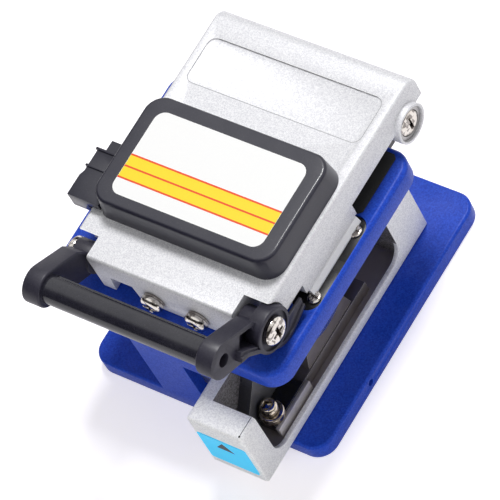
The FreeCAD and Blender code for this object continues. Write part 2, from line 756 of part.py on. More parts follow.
def hinge_bracket():
    """Bracket on the deck's rear face with a barrel for the hinge pin."""
    barrel = (pin_y, pin_z)
    outline = [(bracket_y0, z_bay), (bracket_y1, z_bay), (bracket_y1, pin_z - barrel_r + bracket_heel),
               (pin_y, pin_z - barrel_r), (on_circle(barrel, barrel_r, 0), on_circle(barrel, barrel_r, 90)),
               (bracket_y0, pin_z + barrel_r)]
    bracket = prism("x", outline, bracket_x0, bracket_x1)
    bore = rod("x", pin_r + RUN_FIT, bracket_x0 - OVERCUT, bracket_x1 + OVERCUT, pin_y, pin_z)
    sink_r, sink_end = guide_screw_head_r + HEAD_FIT, bracket_y1 + 2 * barrel_r
    holes = [fuse(rod("y", guide_screw_r, bracket_y0 - OVERCUT, bracket_y1, x, bracket_screw_z),
                  rod("y", sink_r, bracket_seat_y, sink_end, x, bracket_screw_z)) for x in bracket_screw_xs]
    return cut(bracket, bore, *holes)


def bracket_screws():
    """Three socket screws through the bracket into the deck."""
    length = bracket_seat_y - bracket_y0 + bracket_screw_grip - screw_tip_gap
    return [pan_screw("y", bracket_seat_y, 1, x, bracket_screw_z, guide_screw_head_r, bracket_screw_head_t,
                      guide_screw_r, length) for x in bracket_screw_xs]


# ================================================================ slider
def slider_body():
    """Cast slider: an open pocket for the blade holder, with a window in its right wall."""
    block = box(slider_x0, slider_x1, slider_y0, slider_y1, slider_z0, slider_z1)
    block = fillet(block, slider_edge_r, lambda e: along(e, "z") or at(e, "z", slider_z1)
                   or (at(e, "z", slider_z0) and at(e, "y", slider_y0)))
    top = slider_z1 + OVERCUT
    pocket = box(pocket_x0, pocket_x1, pocket_y0, pocket_y1, pocket_z0, top)
    window = box(pocket_x1 - slider_wall_right, slider_x1 + OVERCUT, pocket_y0, pocket_y1, slider_sill, top)
    window = fillet(window, slider_window_r, lambda e: along(e, "x") and at(e, "z", slider_sill))
    seat = pocket_x0 - carriage_screw_seat
    screw_holes = [fuse(rod("x", guide_screw_r, slider_x0 - OVERCUT, pocket_x0, y, z),
                        rod("x", guide_screw_head_r + HEAD_FIT, seat, pocket_x0 + OVERCUT, y, z))
                   for y, z in carriage_screw_places]
    return cut(block, pocket, window, *screw_holes)


def guide_carriage():
    """Guide carriage that straddles the rail, bolted to the slider's left wall."""
    y0, y1 = carriage_yc - carriage_l / 2, carriage_yc + carriage_l / 2
    block = box(carriage_x0, carriage_x1, y0, y1, rail_z - carriage_w / 2, rail_z + carriage_w / 2)
    block = fillet(block, carriage_edge_r, lambda e: along(e, "y") and at(e, "x", carriage_x0))
    half = rail_w / 2 + guide_play
    channel = box(carriage_x0 - OVERCUT, carriage_x1 - carriage_web_t, y0 - OVERCUT, y1 + OVERCUT,
                  rail_z - half, rail_z + half)
    holes = [rod("x", guide_screw_r, carriage_x1 - guide_screw_grip, carriage_x1 + OVERCUT, y, z)
             for y, z in carriage_screw_places]
    return cut(block, channel, *holes)


def carriage_screws():
    """Four socket screws from the pocket into the carriage."""
    seat = pocket_x0 - carriage_screw_seat
    length = seat - carriage_x1 + guide_screw_grip
    return [pan_screw("x", seat, 1, y, z, guide_screw_head_r, carriage_screw_head_t, guide_screw_r, length)
            for y, z in carriage_screw_places]


def pocket_plate():
    """Ground steel plate on the pocket's floor."""
    return box(pocket_x0 + POCKET_GAP, pocket_x1 - POCKET_GAP, pocket_y0 + POCKET_GAP, pocket_y1 - POCKET_GAP,
               pocket_z0, pocket_top)


def front_label():
    """Small coloured plate on the slider's front face."""
    xc, zc = (slider_x0 + slider_x1) / 2, slider_z0 + front_label_rise
    plate = box(xc - front_label_w / 2, xc + front_label_w / 2, slider_y0 - front_label_t, slider_y0,
                zc - front_label_h / 2, zc + front_label_h / 2)
    return fillet(plate, front_label_r, lambda e: along(e, "y"))


def blade_holder():
    """Black holder: a low foot with the locking screw, and an upright that carries the blade's axle."""
    y0, y1 = pocket_y0 + holder_foot_front, blade_y + holder_foot_rear
    foot = box(foot_x0, foot_x1, y0, y1, pocket_top, foot_top)
    head = (blade_y, blade_z)
    outline = [(blade_y - holder_head_r - holder_front_run, foot_top),
               (blade_y + holder_head_r + holder_rear_run, foot_top), (blade_y + holder_head_r, blade_z),
               (on_circle(head, holder_head_r, 90), on_circle(head, holder_head_r, 180))]
    upright = prism("x", outline, holder_x0, holder_x1)
    bore = rod("x", axle_r, holder_x0 - OVERCUT, holder_x1 + OVERCUT, blade_y, blade_z)
    screw_hole = rod("z", lock_shank_r, pocket_top - OVERCUT, foot_top + OVERCUT, lock_x, lock_y)
    return cut(fuse(foot, upright), bore, screw_hole)


def blade_axle():
    """Stepped axle with a slotted head that keeps the blade on the holder."""
    face = blade_x + blade_t / 2 + POCKET_GAP
    top = face + axle_head_t
    shank = rod("x", axle_r, holder_x0, face, blade_y, blade_z)
    head = rod("x", axle_head_r, face, top, blade_y, blade_z)
    slot = box(top - axle_slot_depth, top + OVERCUT, blade_y - axle_slot_w / 2, blade_y + axle_slot_w / 2,
               blade_z - axle_head_r - OVERCUT, blade_z + axle_head_r + OVERCUT)
    return cut(fuse(shank, head), slot)


def blade_wheel():
    """Round carbide blade, ground to an edge all round."""
    half = blade_t / 2
    flat_r = blade_r - blade_bevel_w
    profile = Part.makePolygon([V(blade_x - half, blade_bore_r, 0), V(blade_x - half, flat_r, 0),
                                V(blade_x, blade_r, 0), V(blade_x + half, flat_r, 0),
                                V(blade_x + half, blade_bore_r, 0), V(blade_x - half, blade_bore_r, 0)])
    wheel = Part.Face(profile).revolve(V(0, 0, 0), V(1, 0, 0), 360)
    wheel.translate(V(0, blade_y, blade_z))
    return wheel


def lock_ring():
    """Eccentric ring that sets the blade's height."""
    ring = rod("z", cam_ring_r, foot_top, lock_z, lock_x + cam_ring_throw_x, lock_y - cam_ring_throw_y)
    ring = fillet(ring, cam_ring_edge_r, lambda e: at(e, "z", lock_z))
    return cut(ring, rod("z", lock_shank_r, foot_top - OVERCUT, lock_z + OVERCUT, lock_x, lock_y))


def lock_screw():
    """Socket-head screw through the eccentric ring."""
    top = lock_z + lock_screw_head_t
    head = rod("z", lock_screw_r, lock_z, top, lock_x, lock_y)
    head = fillet(head, lock_edge_r, lambda e: at(e, "z", top))
    shank = rod("z", lock_shank_r, pocket_top, lock_z, lock_x, lock_y)
    return cut(fuse(head, shank), hexagon(lock_x, lock_y, top, lock_socket_r, lock_socket_depth))


def side_plate():
    """Thin steel plate between the holder's foot and the slider's sill."""
    x0, y0 = foot_x1 + RUN_FIT, pocket_y0 + side_plate_front
    return box(x0, x0 + side_plate_t, y0, y0 + side_plate_l, pocket_top, foot_top - side_plate_drop)


def reset_wedge():
    """Black ramp on the pocket's left wall, sloping up towards the back."""
    y0 = pocket_y0 + POCKET_GAP
    y1 = y0 + wedge_l
    low, high = pocket_top + wedge_front_h, slider_z1 - wedge_drop
    run = (high - low) / math.tan(math.radians(wedge_slope))
    return prism("x", [(y0, pocket_top), (y1, pocket_top), (y1, high), (y0 + run, high), (y0, low)],
                 pocket_x0, wedge_x1)


# ================================================================ lid
def lid_profile(inset):
    """Side outline of the lid down to the skirt line, set in by a wall: flat on top, rounded at the rear."""
    rear, top, r = lid_y1 - inset, lid_z1 - inset, lid_rear_r - inset
    centre = (rear - r, top - r)
    return [(lid_y0, lid_skirt), (lid_y0, top), (rear - r, top),
            (on_circle(centre, r, 45), on_circle(centre, r, 0)), (rear, lid_skirt)]


def side_tab():
    """Lower tab of the right wall, with rounded corners and a broad chamfer along its outer foot."""
    y0, y1 = y_front + tab_front, y_front + tab_rear
    tab = box(lid_x1 - lid_wall, lid_x1, y0, y1, lid_z0, lid_skirt)
    tab = fillet(tab, tab_front_r, lambda e: along(e, "x") and at(e, "z", lid_z0) and at(e, "y", y0))
    tab = fillet(tab, tab_rear_r, lambda e: along(e, "x") and at(e, "z", lid_z0) and at(e, "y", y1))
    bevel = prism("y", [(lid_x1 - tab_chamfer, lid_z0), (lid_x1, lid_z0), (lid_x1, lid_z0 + tab_chamfer)],
                  y0 - OVERCUT, y1 + OVERCUT)
    return cut(tab, bevel)


def lid_shell():
    """Cast lid: a tray with a deeper tongue in front, a tab on the right wall and hinge ears at the rear."""
    shell = prism("x", lid_profile(0), lid_x0, lid_x1)
    shell = fillet(shell, lid_edge_r, lambda e: at(e, "z", lid_z1) and (along(e, "y") or at(e, "y", lid_y0)))
    hollow = prism("x", lid_profile(lid_wall), lid_x0 + lid_wall, lid_x1 - lid_wall)
    hollow = cut(hollow, box(lid_x0, lid_x1, lid_y0 - OVERCUT, front_block_y1, lid_z0, lid_z1))
    tongue = box(tongue_x0, tongue_x1, lid_y0, front_block_y1, lid_z0, lid_skirt)
    front_hollow = box(tongue_x0 + cheek_t, tongue_x1 - cheek_t, lid_y0 + lid_wall, front_block_y1 + RUN_FIT,
                       lid_z0 - OVERCUT, lid_roof)
    side_notches = []
    for x0, x1 in ((lid_x0 - OVERCUT, tongue_x0), (tongue_x1, lid_x1 + OVERCUT)):
        side_notches.append(box(x0, x1, lid_y0 - OVERCUT, piv_y, lid_z0 - OVERCUT, lid_z1 + OVERCUT))
        side_notches.append(rod("x", scallop_r, x0, x1, piv_y, piv_z))
    slot_x0 = tongue_x0 + notch_from_left
    slot_x1 = slot_x0 + notch_w
    slot = prism("y", [(slot_x0, lid_z0 - OVERCUT), (slot_x0 + notch_lean, lid_z0 + notch_h),
                       (slot_x1 - notch_lean, lid_z0 + notch_h), (slot_x1, lid_z0 - OVERCUT)],
                 lid_y0 - OVERCUT, lid_y0 + lid_wall + OVERCUT)
    panel = tablet(lid_xc - panel_l / 2, lid_xc + panel_l / 2, panel_y1 - panel_d, panel_y1,
                   lid_z1 - panel_depth, lid_z1 + OVERCUT, panel_r)
    arm_window = box(arm_px - arm_boss_r - SWEEP_GAP, blade_x + anvil_slot + SWEEP_GAP, arm_y0 - SWEEP_GAP,
                     arm_y1 + SWEEP_GAP, lid_roof - OVERCUT, lid_z1 + OVERCUT)
    ears = [rod("x", ear_r, lid_x1 - lid_wall, lid_x1 + ear_t, pin_y, pin_z),
            rod("x", ear_r, lid_x0 - ear_t, lid_x0 + lid_wall, pin_y, pin_z)]
    body = cut(fuse(shell, tongue), hollow, front_hollow, slot, panel, arm_window, *side_notches)
    body = fuse(body, side_tab(), *ears)
    past = ear_t + OVERCUT
    bores = [rod("x", pin_r, lid_x0 - past, lid_x1 + past, pin_y, pin_z),
             rod("x", pin_seat_r, lid_x1 + ear_floor, lid_x1 + past, pin_y, pin_z),
             rod("x", pin_seat_r, lid_x0 - past, lid_x0 - ear_floor, pin_y, pin_z)]
    screw_holes = [rod("y", front_screw_r, lid_y0 - OVERCUT, lid_y0 + lid_wall + OVERCUT, x, front_screw_z)
                   for x in front_screw_xs]
    pivot_holes = [rod("x", pivot_screw_r, tongue_x0 - OVERCUT, tongue_x0 + pivot_thread, piv_y, piv_z),
                   rod("x", pivot_screw_r, tongue_x1 - pivot_thread, tongue_x1 + OVERCUT, piv_y, piv_z)]
    return cut(body, *bores, *screw_holes, *pivot_holes)


def hinge_pin():
    """Hinge pin with a slotted head at the right and a riveted end at the left."""
    right, left = lid_x1 + ear_floor, lid_x0 - ear_floor
    top = right + pin_head_t
    pin = rod("x", pin_r, left, right, pin_y, pin_z)
    head = fillet(rod("x", pin_head_r, right, top, pin_y, pin_z), pin_head_edge_r, lambda e: at(e, "x", top))
    tail = rod("x", pin_head_r, left - pin_head_t, left, pin_y, pin_z)
    reach = pin_head_r + OVERCUT
    slot = box(top - pin_slot_depth, top + OVERCUT, pin_y - reach, pin_y + reach, pin_z - pin_slot_w / 2,
               pin_z + pin_slot_w / 2)
    return cut(fuse(pin, head, tail), slot)


def hinge_rings():
    """Thin rings around both ends of the pin."""
    rings = []
    for x0 in (lid_x1 + ear_floor, lid_x0 - ear_floor - hinge_ring_t):
        ring = rod("x", hinge_ring_r, x0, x0 + hinge_ring_t, pin_y, pin_z)
        hole = rod("x", pin_head_r + hinge_ring_fit, x0 - OVERCUT, x0 + hinge_ring_t + OVERCUT, pin_y, pin_z)
        rings.append(cut(ring, hole))
    return rings


def magnet_bar():
    """Magnet behind the lid's front wall, over the keeper plate."""
    bar = box(keeper_x0, keeper_x1, magnet_y0, magnet_y0 + magnet_t, magnet_z0, lid_roof - magnet_drop)
    hole_end = magnet_y0 + magnet_hole_depth
    return cut(bar, *[rod("y", front_screw_r, magnet_y0 - OVERCUT, hole_end, x, front_screw_z)
                      for x in front_screw_xs if keeper_x0 < x - front_screw_r < keeper_x1])


def front_screws():
    """Two domed screws in the lid's front face, each with a washer under its head."""
    seat = lid_y0 - washer_t
    length = washer_t + lid_wall + front_screw_grip
    screws = []
    for x in front_screw_xs:
        screw = pan_screw("y", seat, -1, x, front_screw_z, front_screw_head_r, front_screw_head_t,
                          front_screw_r, length)
        screws.append(fuse(screw, rod("y", washer_r, seat, lid_y0, x, front_screw_z)))
    return screws


def upper_clamp_block():
    """Black block under the lid's roof that carries the upper pads, slotted for the anvil."""
    block = box(upper_block_x0, upper_block_x1, y_fibre - upper_block_d / 2, y_fibre + upper_block_d / 2,
                upper_block_z0, lid_roof)
    block = fillet(block, upper_block_edge_r, lambda e: along(e, "x") and at(e, "z", upper_block_z0))
    slot = box(blade_x - anvil_slot, blade_x + anvil_slot, arm_y0 - SWEEP_GAP, arm_y1 + SWEEP_GAP,
               upper_block_z0 - OVERCUT, lid_roof + OVERCUT)
    return cut(block, slot)


def upper_pads():
    """Rubber strips that press the fibre on the lower pads."""
    spans = ((upper_block_x0 + upper_pad_inset, blade_x - anvil_slot - upper_pad_inset),
             (blade_x + anvil_slot + upper_pad_inset, upper_block_x1 - upper_pad_inset))
    return [box(x0, x1, y_fibre - pad_w / 2, y_fibre + pad_w / 2, upper_pad_z0, upper_block_z0)
            for x0, x1 in spans]


# ================================================================ anvil and cover
def rectangle(x0, x1, y0, y1, z):
    """Closed wire round a level rectangle."""
    corners = [V(x0, y0, z), V(x1, y0, z), V(x1, y1, z), V(x0, y1, z)]
    return Part.makePolygon(corners + corners[:1])


def anvil_cover():
    """Drafted cap with rounded corners over the anvil arm, open at the left for the thumb piece."""
    d = cover_draft
    foot = rectangle(cover_x0, cover_x1, cover_y0, cover_y1, lid_z1)
    crown = rectangle(cover_x0 + d, cover_x1 - d, cover_y0 + d, cover_y1 - d, cover_z1)
    block = Part.makeLoft([foot, crown], True, True)
    block = fillet(block, cover_corner_r, lambda e: not at(e, "z", lid_z1) and not at(e, "z", cover_z1))
    block = fillet(block, cover_rim_r, lambda e: at(e, "z", cover_z1))
    s = cover_shell
    hollow = tablet(cover_x0 + s, cover_x1 - s, cover_y0 + s, cover_y1 - s, lid_z1 - OVERCUT,
                    cover_z1 - cover_wall, cover_corner_r - cover_wall)
    seat = tablet(label_x0, label_x1, label_y0, label_y1, cover_z1 - label_t, cover_z1 + OVERCUT,
                  label_corner_r)
    mouth = box(cover_x0 - OVERCUT, cover_x0 + s + OVERCUT, thumb_y0 - MOVE_GAP,
                max(thumb_y1, arm_y1) + MOVE_GAP, lid_z1 - OVERCUT, arm_z1 + mouth_rise)
    return cut(block, hollow, seat, mouth)


def label_plate():
    """Plain white plate set flush in the cap."""
    return tablet(label_x0, label_x1, label_y0, label_y1, cover_z1 - label_t, cover_z1, label_corner_r)


def thumb_piece():
    """Thumb end of the anvil arm: its left side steps in towards the back, with two ribs across its top."""
    inner = cover_x0 + thumb_lap
    step_y = thumb_y0 + thumb_rib_ys[1]
    shoulder_x, step_x = thumb_x0 + thumb_shoulder, thumb_x0 + thumb_step
    outline = [(thumb_x0, thumb_y0), (inner, thumb_y0), (inner, thumb_y1), (step_x, thumb_y1), (step_x, step_y),
               (shoulder_x, step_y), (shoulder_x, thumb_y0 + thumb_shoulder_y1),
               (thumb_x0, thumb_y0 + thumb_shoulder_y0)]
    block = prism("z", outline, thumb_z0, thumb_z1)
    lid_relief = box(lid_x0 - MOVE_GAP, inner + OVERCUT, thumb_y0 - OVERCUT, thumb_y1 + OVERCUT,
                     thumb_z0 - OVERCUT, arm_z0)
    rib_x0 = shoulder_x - thumb_rib_inset
    ribs = [box(rib_x0, inner - OVERCUT, thumb_y0 + y - thumb_rib_w / 2, thumb_y0 + y + thumb_rib_w / 2,
                thumb_z1 - thumb_rib_w, thumb_z1 + thumb_rib_h) for y in thumb_rib_ys]
    return fuse(cut(block, lid_relief), *ribs)


def anvil_arm():
    """Rocker under the cap: the thumb piece at the left, the pivot, and a leg down to the anvil."""
    bar = box(cover_x0 + thumb_lap / 2, arm_x1, arm_y0, arm_y1, arm_z0, arm_z1)
    leg = box(leg_x0, arm_x1, arm_y0, arm_y1, anvil_z1, arm_z0)
    boss = rod("y", arm_boss_r, arm_y0, arm_y1, arm_px, arm_pz)
    pivot = rod("y", arm_pivot_r + RUN_FIT, arm_y0 - OVERCUT, arm_y1 + OVERCUT, arm_px, arm_pz)
    spring_seat = rod("z", spring_r + MOVE_GAP, spring_seat_z, arm_z1 + OVERCUT, spring_x, y_fibre)
    return cut(fuse(thumb_piece(), bar, leg, boss), pivot, spring_seat)


def anvil_pad():
    """Hard pad at the foot of the anvil arm, over the blade's path."""
    pad = box(leg_x0, arm_x1, arm_y0, arm_y1, anvil_z0, anvil_z1)
    return fillet(pad, anvil_pad_r, lambda e: along(e, "y") and at(e, "z", anvil_z0))


def anvil_pivot_pin():
    """Pin across the roof's window that the anvil arm rocks on."""
    reach = lug_gap + lug_t
    return rod("y", arm_pivot_r, arm_y0 - reach, arm_y1 + reach, arm_px, arm_pz)


def pivot_lugs():
    """Two small lugs on the roof that hold the anvil arm's pin."""
    lugs = []
    for y0 in (arm_y0 - lug_gap - lug_t, arm_y1 + lug_gap):
        y1 = y0 + lug_t
        lug = fuse(box(arm_px - lug_r, arm_px + lug_r, y0, y1, lid_z1, arm_pz),
                   rod("y", lug_r, y0, y1, arm_px, arm_pz))
        lugs.append(cut(lug, rod("y", arm_pivot_r, y0 - OVERCUT, y1 + OVERCUT, arm_px, arm_pz)))
    return lugs


def anvil_spring():
    """Coil spring between the anvil arm and the cap."""
    z0, z1 = spring_seat_z + spring_wire_r, cover_z1 - cover_wall - spring_wire_r
    helix = Part.makeHelix((z1 - z0) / spring_turns, z1 - z0, spring_r - spring_wire_r)
    first = helix.Edges[0]
    start, tangent = first.valueAt(first.FirstParameter), first.tangentAt(first.FirstParameter)
    wire_section = Part.Wire(Part.Circle(start, tangent, spring_wire_r).toShape())
    coil = Part.Wire(helix.Edges).makePipeShell([wire_section], True, True)
    coil.translate(V(spring_x, y_fibre, z0))
    return coil


# ================================================================ handle
def arm_point(run, rise):
    """Point on the arm: run from the boss's axis towards the pivot, rise above the line between them."""
    reach = math.hypot(boss_reach, boss_rise)
    way = (boss_reach / reach, -boss_rise / reach)
    return (boss_y + run * way[0] - rise * way[1], boss_z + run * way[1] + rise * way[0])


def plain_arm(hub_x0):
    """Arm of the handle: round boss for the bar, straight back, recessed outer face, hub at the pivot."""
    reach = math.hypot(boss_reach, boss_rise)
    lean = math.degrees(math.atan2(boss_rise, -boss_reach))
    down = lean + 90 + math.degrees(math.asin((boss_r - hub_r) / reach))
    hub, boss = (piv_y, piv_z), (boss_y, boss_z)
    hub_top = on_circle(hub, hub_r, 100)
    boss_end = (on_circle(boss, boss_r, lean), on_circle(boss, boss_r, down))
    hub_end = (on_circle(hub, hub_r, lean + 180), hub_top)
    arm = prism("x", [hub_top, arm_point(arm_crest, boss_r), arm_point(0, boss_r), boss_end,
                      on_circle(hub, hub_r, down), hub_end], boss_x0, boss_x1)
    arm = fillet(arm, boss_edge_r, lambda e: at(e, "x", boss_x0))
    recess = prism("x", [arm_point(arm_recess_start, arm_recess_high), arm_point(arm_crest, arm_recess_high),
                         arm_point(arm_recess_end, 0), arm_point(arm_recess_end, -arm_recess_low),
                         arm_point(arm_recess_start, 0)], boss_x1 - arm_recess_depth, boss_x1 + OVERCUT)
    return fuse(cut(arm, recess), rod("x", hub_r, hub_x0, boss_x1, piv_y, piv_z))


def cam_tail():
    """Tail that levers on the deck: a thin web with a raised rim, from the boss round under the hub."""
    hub, boss = (piv_y, piv_z), (boss_y, boss_z)
    curve_start = (piv_y - tail_front, piv_z - tail_front_drop)
    curve_end = (piv_y + tail_heel, tail_foot_z + tail_foot_gap / 2)
    curve_low = ((curve_start[0] + curve_end[0]) / 2, tail_foot_z)
    tip_low = (piv_y + tail_reach - tail_rim_w / 2, piv_z - tail_tip_low)
    tip_high = (piv_y + tail_reach, piv_z - tail_tip_high)
    knee = (piv_y - tail_knee, piv_z + tail_knee_rise)
    outline = [on_circle(boss, boss_r, 300), knee, curve_start, (curve_low, curve_end), tip_low, tip_high,
               on_circle(hub, flange_r, 330), on_circle(hub, hub_r, 200),
               (knee[0] + tail_band, knee[1] + tail_band / 2), on_circle(boss, boss_r, 330)]
    tail = prism("x", outline, tail_x0, tail_x1)
    inner = prism("x", outline, tail_x0, tail_x1)
    inner.translate(V(tail_t - tail_rim_h, tail_rim_w / 2, tail_rim_w))
    web = prism("x", outline, boss_x1 - web_lap, tail_x0).common(
        box(boss_x0, tail_x0, boss_y - boss_r, piv_y, lid_z0 - lid_gap, lid_z1 + boss_r))
    return fuse(cut(tail, inner), web)


def handle_arm_right():
    """Right arm: the plain arm with a sunk ring round the pivot screw, and the cam tail outside the lid."""
    ring = rod("x", flange_r, flange_x0, flange_x1, piv_y, piv_z)
    ring = fillet(ring, flange_rim / 2, lambda e: at(e, "x", flange_x1))
    body = fuse(plain_arm(tongue_x1 + MOVE_GAP), cam_tail(), ring)
    sink = rod("x", flange_r - flange_rim, flange_x1 - flange_sink, flange_x1 + OVERCUT, piv_y, piv_z)
    bore = rod("x", pivot_screw_r + RUN_FIT, tongue_x1, flange_x1, piv_y, piv_z)
    bar_bore = rod("x", bar_bore_r, boss_x0 - OVERCUT, boss_x1 + OVERCUT, boss_y, boss_z)
    return cut(body, sink, bore, bar_bore)


def handle_arm_left():
    """Left arm: the plain arm, handed, with its pivot screw straight on the hub."""
    hub_x0 = lid_x0 + lid_x1 - tongue_x0 + MOVE_GAP
    bore = rod("x", pivot_screw_r + RUN_FIT, hub_x0 - OVERCUT, boss_x1 + OVERCUT, piv_y, piv_z)
    bar_bore = rod("x", bar_bore_r, boss_x0 - OVERCUT, boss_x1 + OVERCUT, boss_y, boss_z)
    return mirrored(cut(plain_arm(hub_x0), bore, bar_bore))


def handle_bar():
    """Round bar between the arms, grooved along its upper rear side."""
    bar = rod("x", bar_r, bar_x0, boss_x0, boss_y, boss_z)
    groove_c = on_circle((boss_y, boss_z), bar_r + bar_groove_out, bar_groove_turn)
    groove = rod("x", bar_groove_r, bar_x0 + bar_groove_margin, boss_x0 - bar_groove_margin, *groove_c)
    return cut(bar, groove, rod("x", bar_bore_r, bar_x0 - OVERCUT, boss_x0 + OVERCUT, boss_y, boss_z))


def handle_rod():
    """Steel rod through the bar, its ends sunk in the arms' bosses."""
    return rod("x", bar_bore_r, lid_x0 + lid_x1 - boss_x1 + rod_sink, boss_x1 - rod_sink, boss_y, boss_z)


def pivot_screws():
    """Domed screws that the handle's hubs turn on."""
    right_seat = flange_x1 - flange_sink + RUN_FIT
    left_seat = lid_x0 + lid_x1 - boss_x1 - RUN_FIT
    grip = pivot_thread - screw_sink
    return [pan_screw("x", seat, way, piv_y, piv_z, pivot_head_r, pivot_head_t, pivot_screw_r,
                      abs(seat - tongue) + grip)
            for seat, way, tongue in ((right_seat, 1, tongue_x1), (left_seat, -1, tongue_x0))]


NODES = {
    "base_frame": base_frame, "deck": deck, "deck_screws": deck_screws, "guide_rail": guide_rail,
    "rail_screws": rail_screws, "clamp_base_left": lambda: clamp_base("left"),
    "clamp_base_right": lambda: clamp_base("right"), "clamp_screws": clamp_screws, "lower_pads": lower_pads,
    "adapter_plate": adapter_plate, "adapter_screws": adapter_screws, "keeper_plate": keeper_plate,
    "lid_stop": lid_stop, "hinge_bracket": hinge_bracket, "bracket_screws": bracket_screws,
    "slider_body": slider_body, "guide_carriage": guide_carriage, "carriage_screws": carriage_screws,
    "pocket_plate": pocket_plate, "front_label": front_label, "blade_holder": blade_holder,
    "blade_axle": blade_axle, "blade_wheel": blade_wheel, "lock_ring": lock_ring, "lock_screw": lock_screw,
    "side_plate": side_plate, "reset_wedge": reset_wedge, "lid_shell": lid_shell, "hinge_pin": hinge_pin,
    "hinge_rings": hinge_rings, "magnet_bar": magnet_bar, "front_screws": front_screws,
    "upper_clamp_block": upper_clamp_block, "upper_pads": upper_pads, "anvil_cover": anvil_cover,
    "label_plate": label_plate, "anvil_arm": anvil_arm, "anvil_pad": anvil_pad,
    "anvil_pivot_pin": anvil_pivot_pin, "pivot_lugs": pivot_lugs, "anvil_spring": anvil_spring,
    "handle_arm_right": handle_arm_right, "handle_arm_left": handle_arm_left, "handle_bar": handle_bar,
    "handle_rod": handle_rod, "pivot_screws": pivot_screws,
}


def main():
    """Build every node and write it to parts/."""
    os.makedirs("parts", exist_ok=True)
    for name, make in NODES.items():
        made = make()
        shape = Part.makeCompound(made) if isinstance(made, list) else made
        shape.exportStep(os.path.join("parts", name + ".step"))
        print(name, len(shape.Solids), round(shape.Volume, 2), shape.isValid())


main()
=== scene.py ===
"""Looks of the bench-top fibre cleaver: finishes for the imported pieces, and small new pieces.

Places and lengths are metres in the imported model's frame: +X right (the slider's side), +Y back
(the hinge's side), +Z up. A name that ends in _mm holds millimetres.
"""

import logging
import math
from dataclasses import dataclass
from enum import Enum
from typing import Callable, Optional, Sequence, Union

import bmesh
import bpy
from mathutils import Matrix, Vector

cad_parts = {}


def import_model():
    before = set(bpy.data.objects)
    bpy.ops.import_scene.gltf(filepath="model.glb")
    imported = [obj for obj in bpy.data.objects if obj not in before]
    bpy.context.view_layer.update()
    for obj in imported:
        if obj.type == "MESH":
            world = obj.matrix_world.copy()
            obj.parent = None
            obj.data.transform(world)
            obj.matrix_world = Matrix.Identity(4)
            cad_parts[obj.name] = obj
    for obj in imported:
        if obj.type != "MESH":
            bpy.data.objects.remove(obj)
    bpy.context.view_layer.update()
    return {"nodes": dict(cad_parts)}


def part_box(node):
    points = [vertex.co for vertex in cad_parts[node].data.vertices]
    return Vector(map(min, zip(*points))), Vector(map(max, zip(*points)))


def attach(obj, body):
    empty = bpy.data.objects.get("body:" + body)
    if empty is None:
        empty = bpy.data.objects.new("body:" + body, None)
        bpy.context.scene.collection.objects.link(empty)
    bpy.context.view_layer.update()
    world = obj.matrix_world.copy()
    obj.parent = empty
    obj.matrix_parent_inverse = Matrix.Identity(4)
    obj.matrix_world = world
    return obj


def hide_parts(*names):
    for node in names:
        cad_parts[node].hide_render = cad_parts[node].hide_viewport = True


log = logging.getLogger("cleaver")
MM = 0.001
TINY = 1e-6
SHARP = math.radians(32)
UP = Vector((0, 0, 1))
WHITE = (1.0, 1.0, 1.0)
Colour = tuple[float, float, float]
Point = tuple[float, float, float]
Radius = Union[float, Callable[[float], float]]
Socket = bpy.types.NodeSocket
Value = Union[float, Sequence[float], Socket]


class Body(Enum):
    """The moving groups that new pieces ride on."""

    BASE = "base"
    SLIDER = "slider"
    LID = "lid"


class Recess(Enum):
    """Driver recesses of the screws."""

    CROSS = "cross"
    HEXAGON = "hexagon"
    SLOT = "slot"


# ---------------------------------------------------------------- node trees
def rgba(colour: Colour) -> tuple[float, float, float, float]:
    """The colour with full alpha."""
    return (*colour, 1.0)


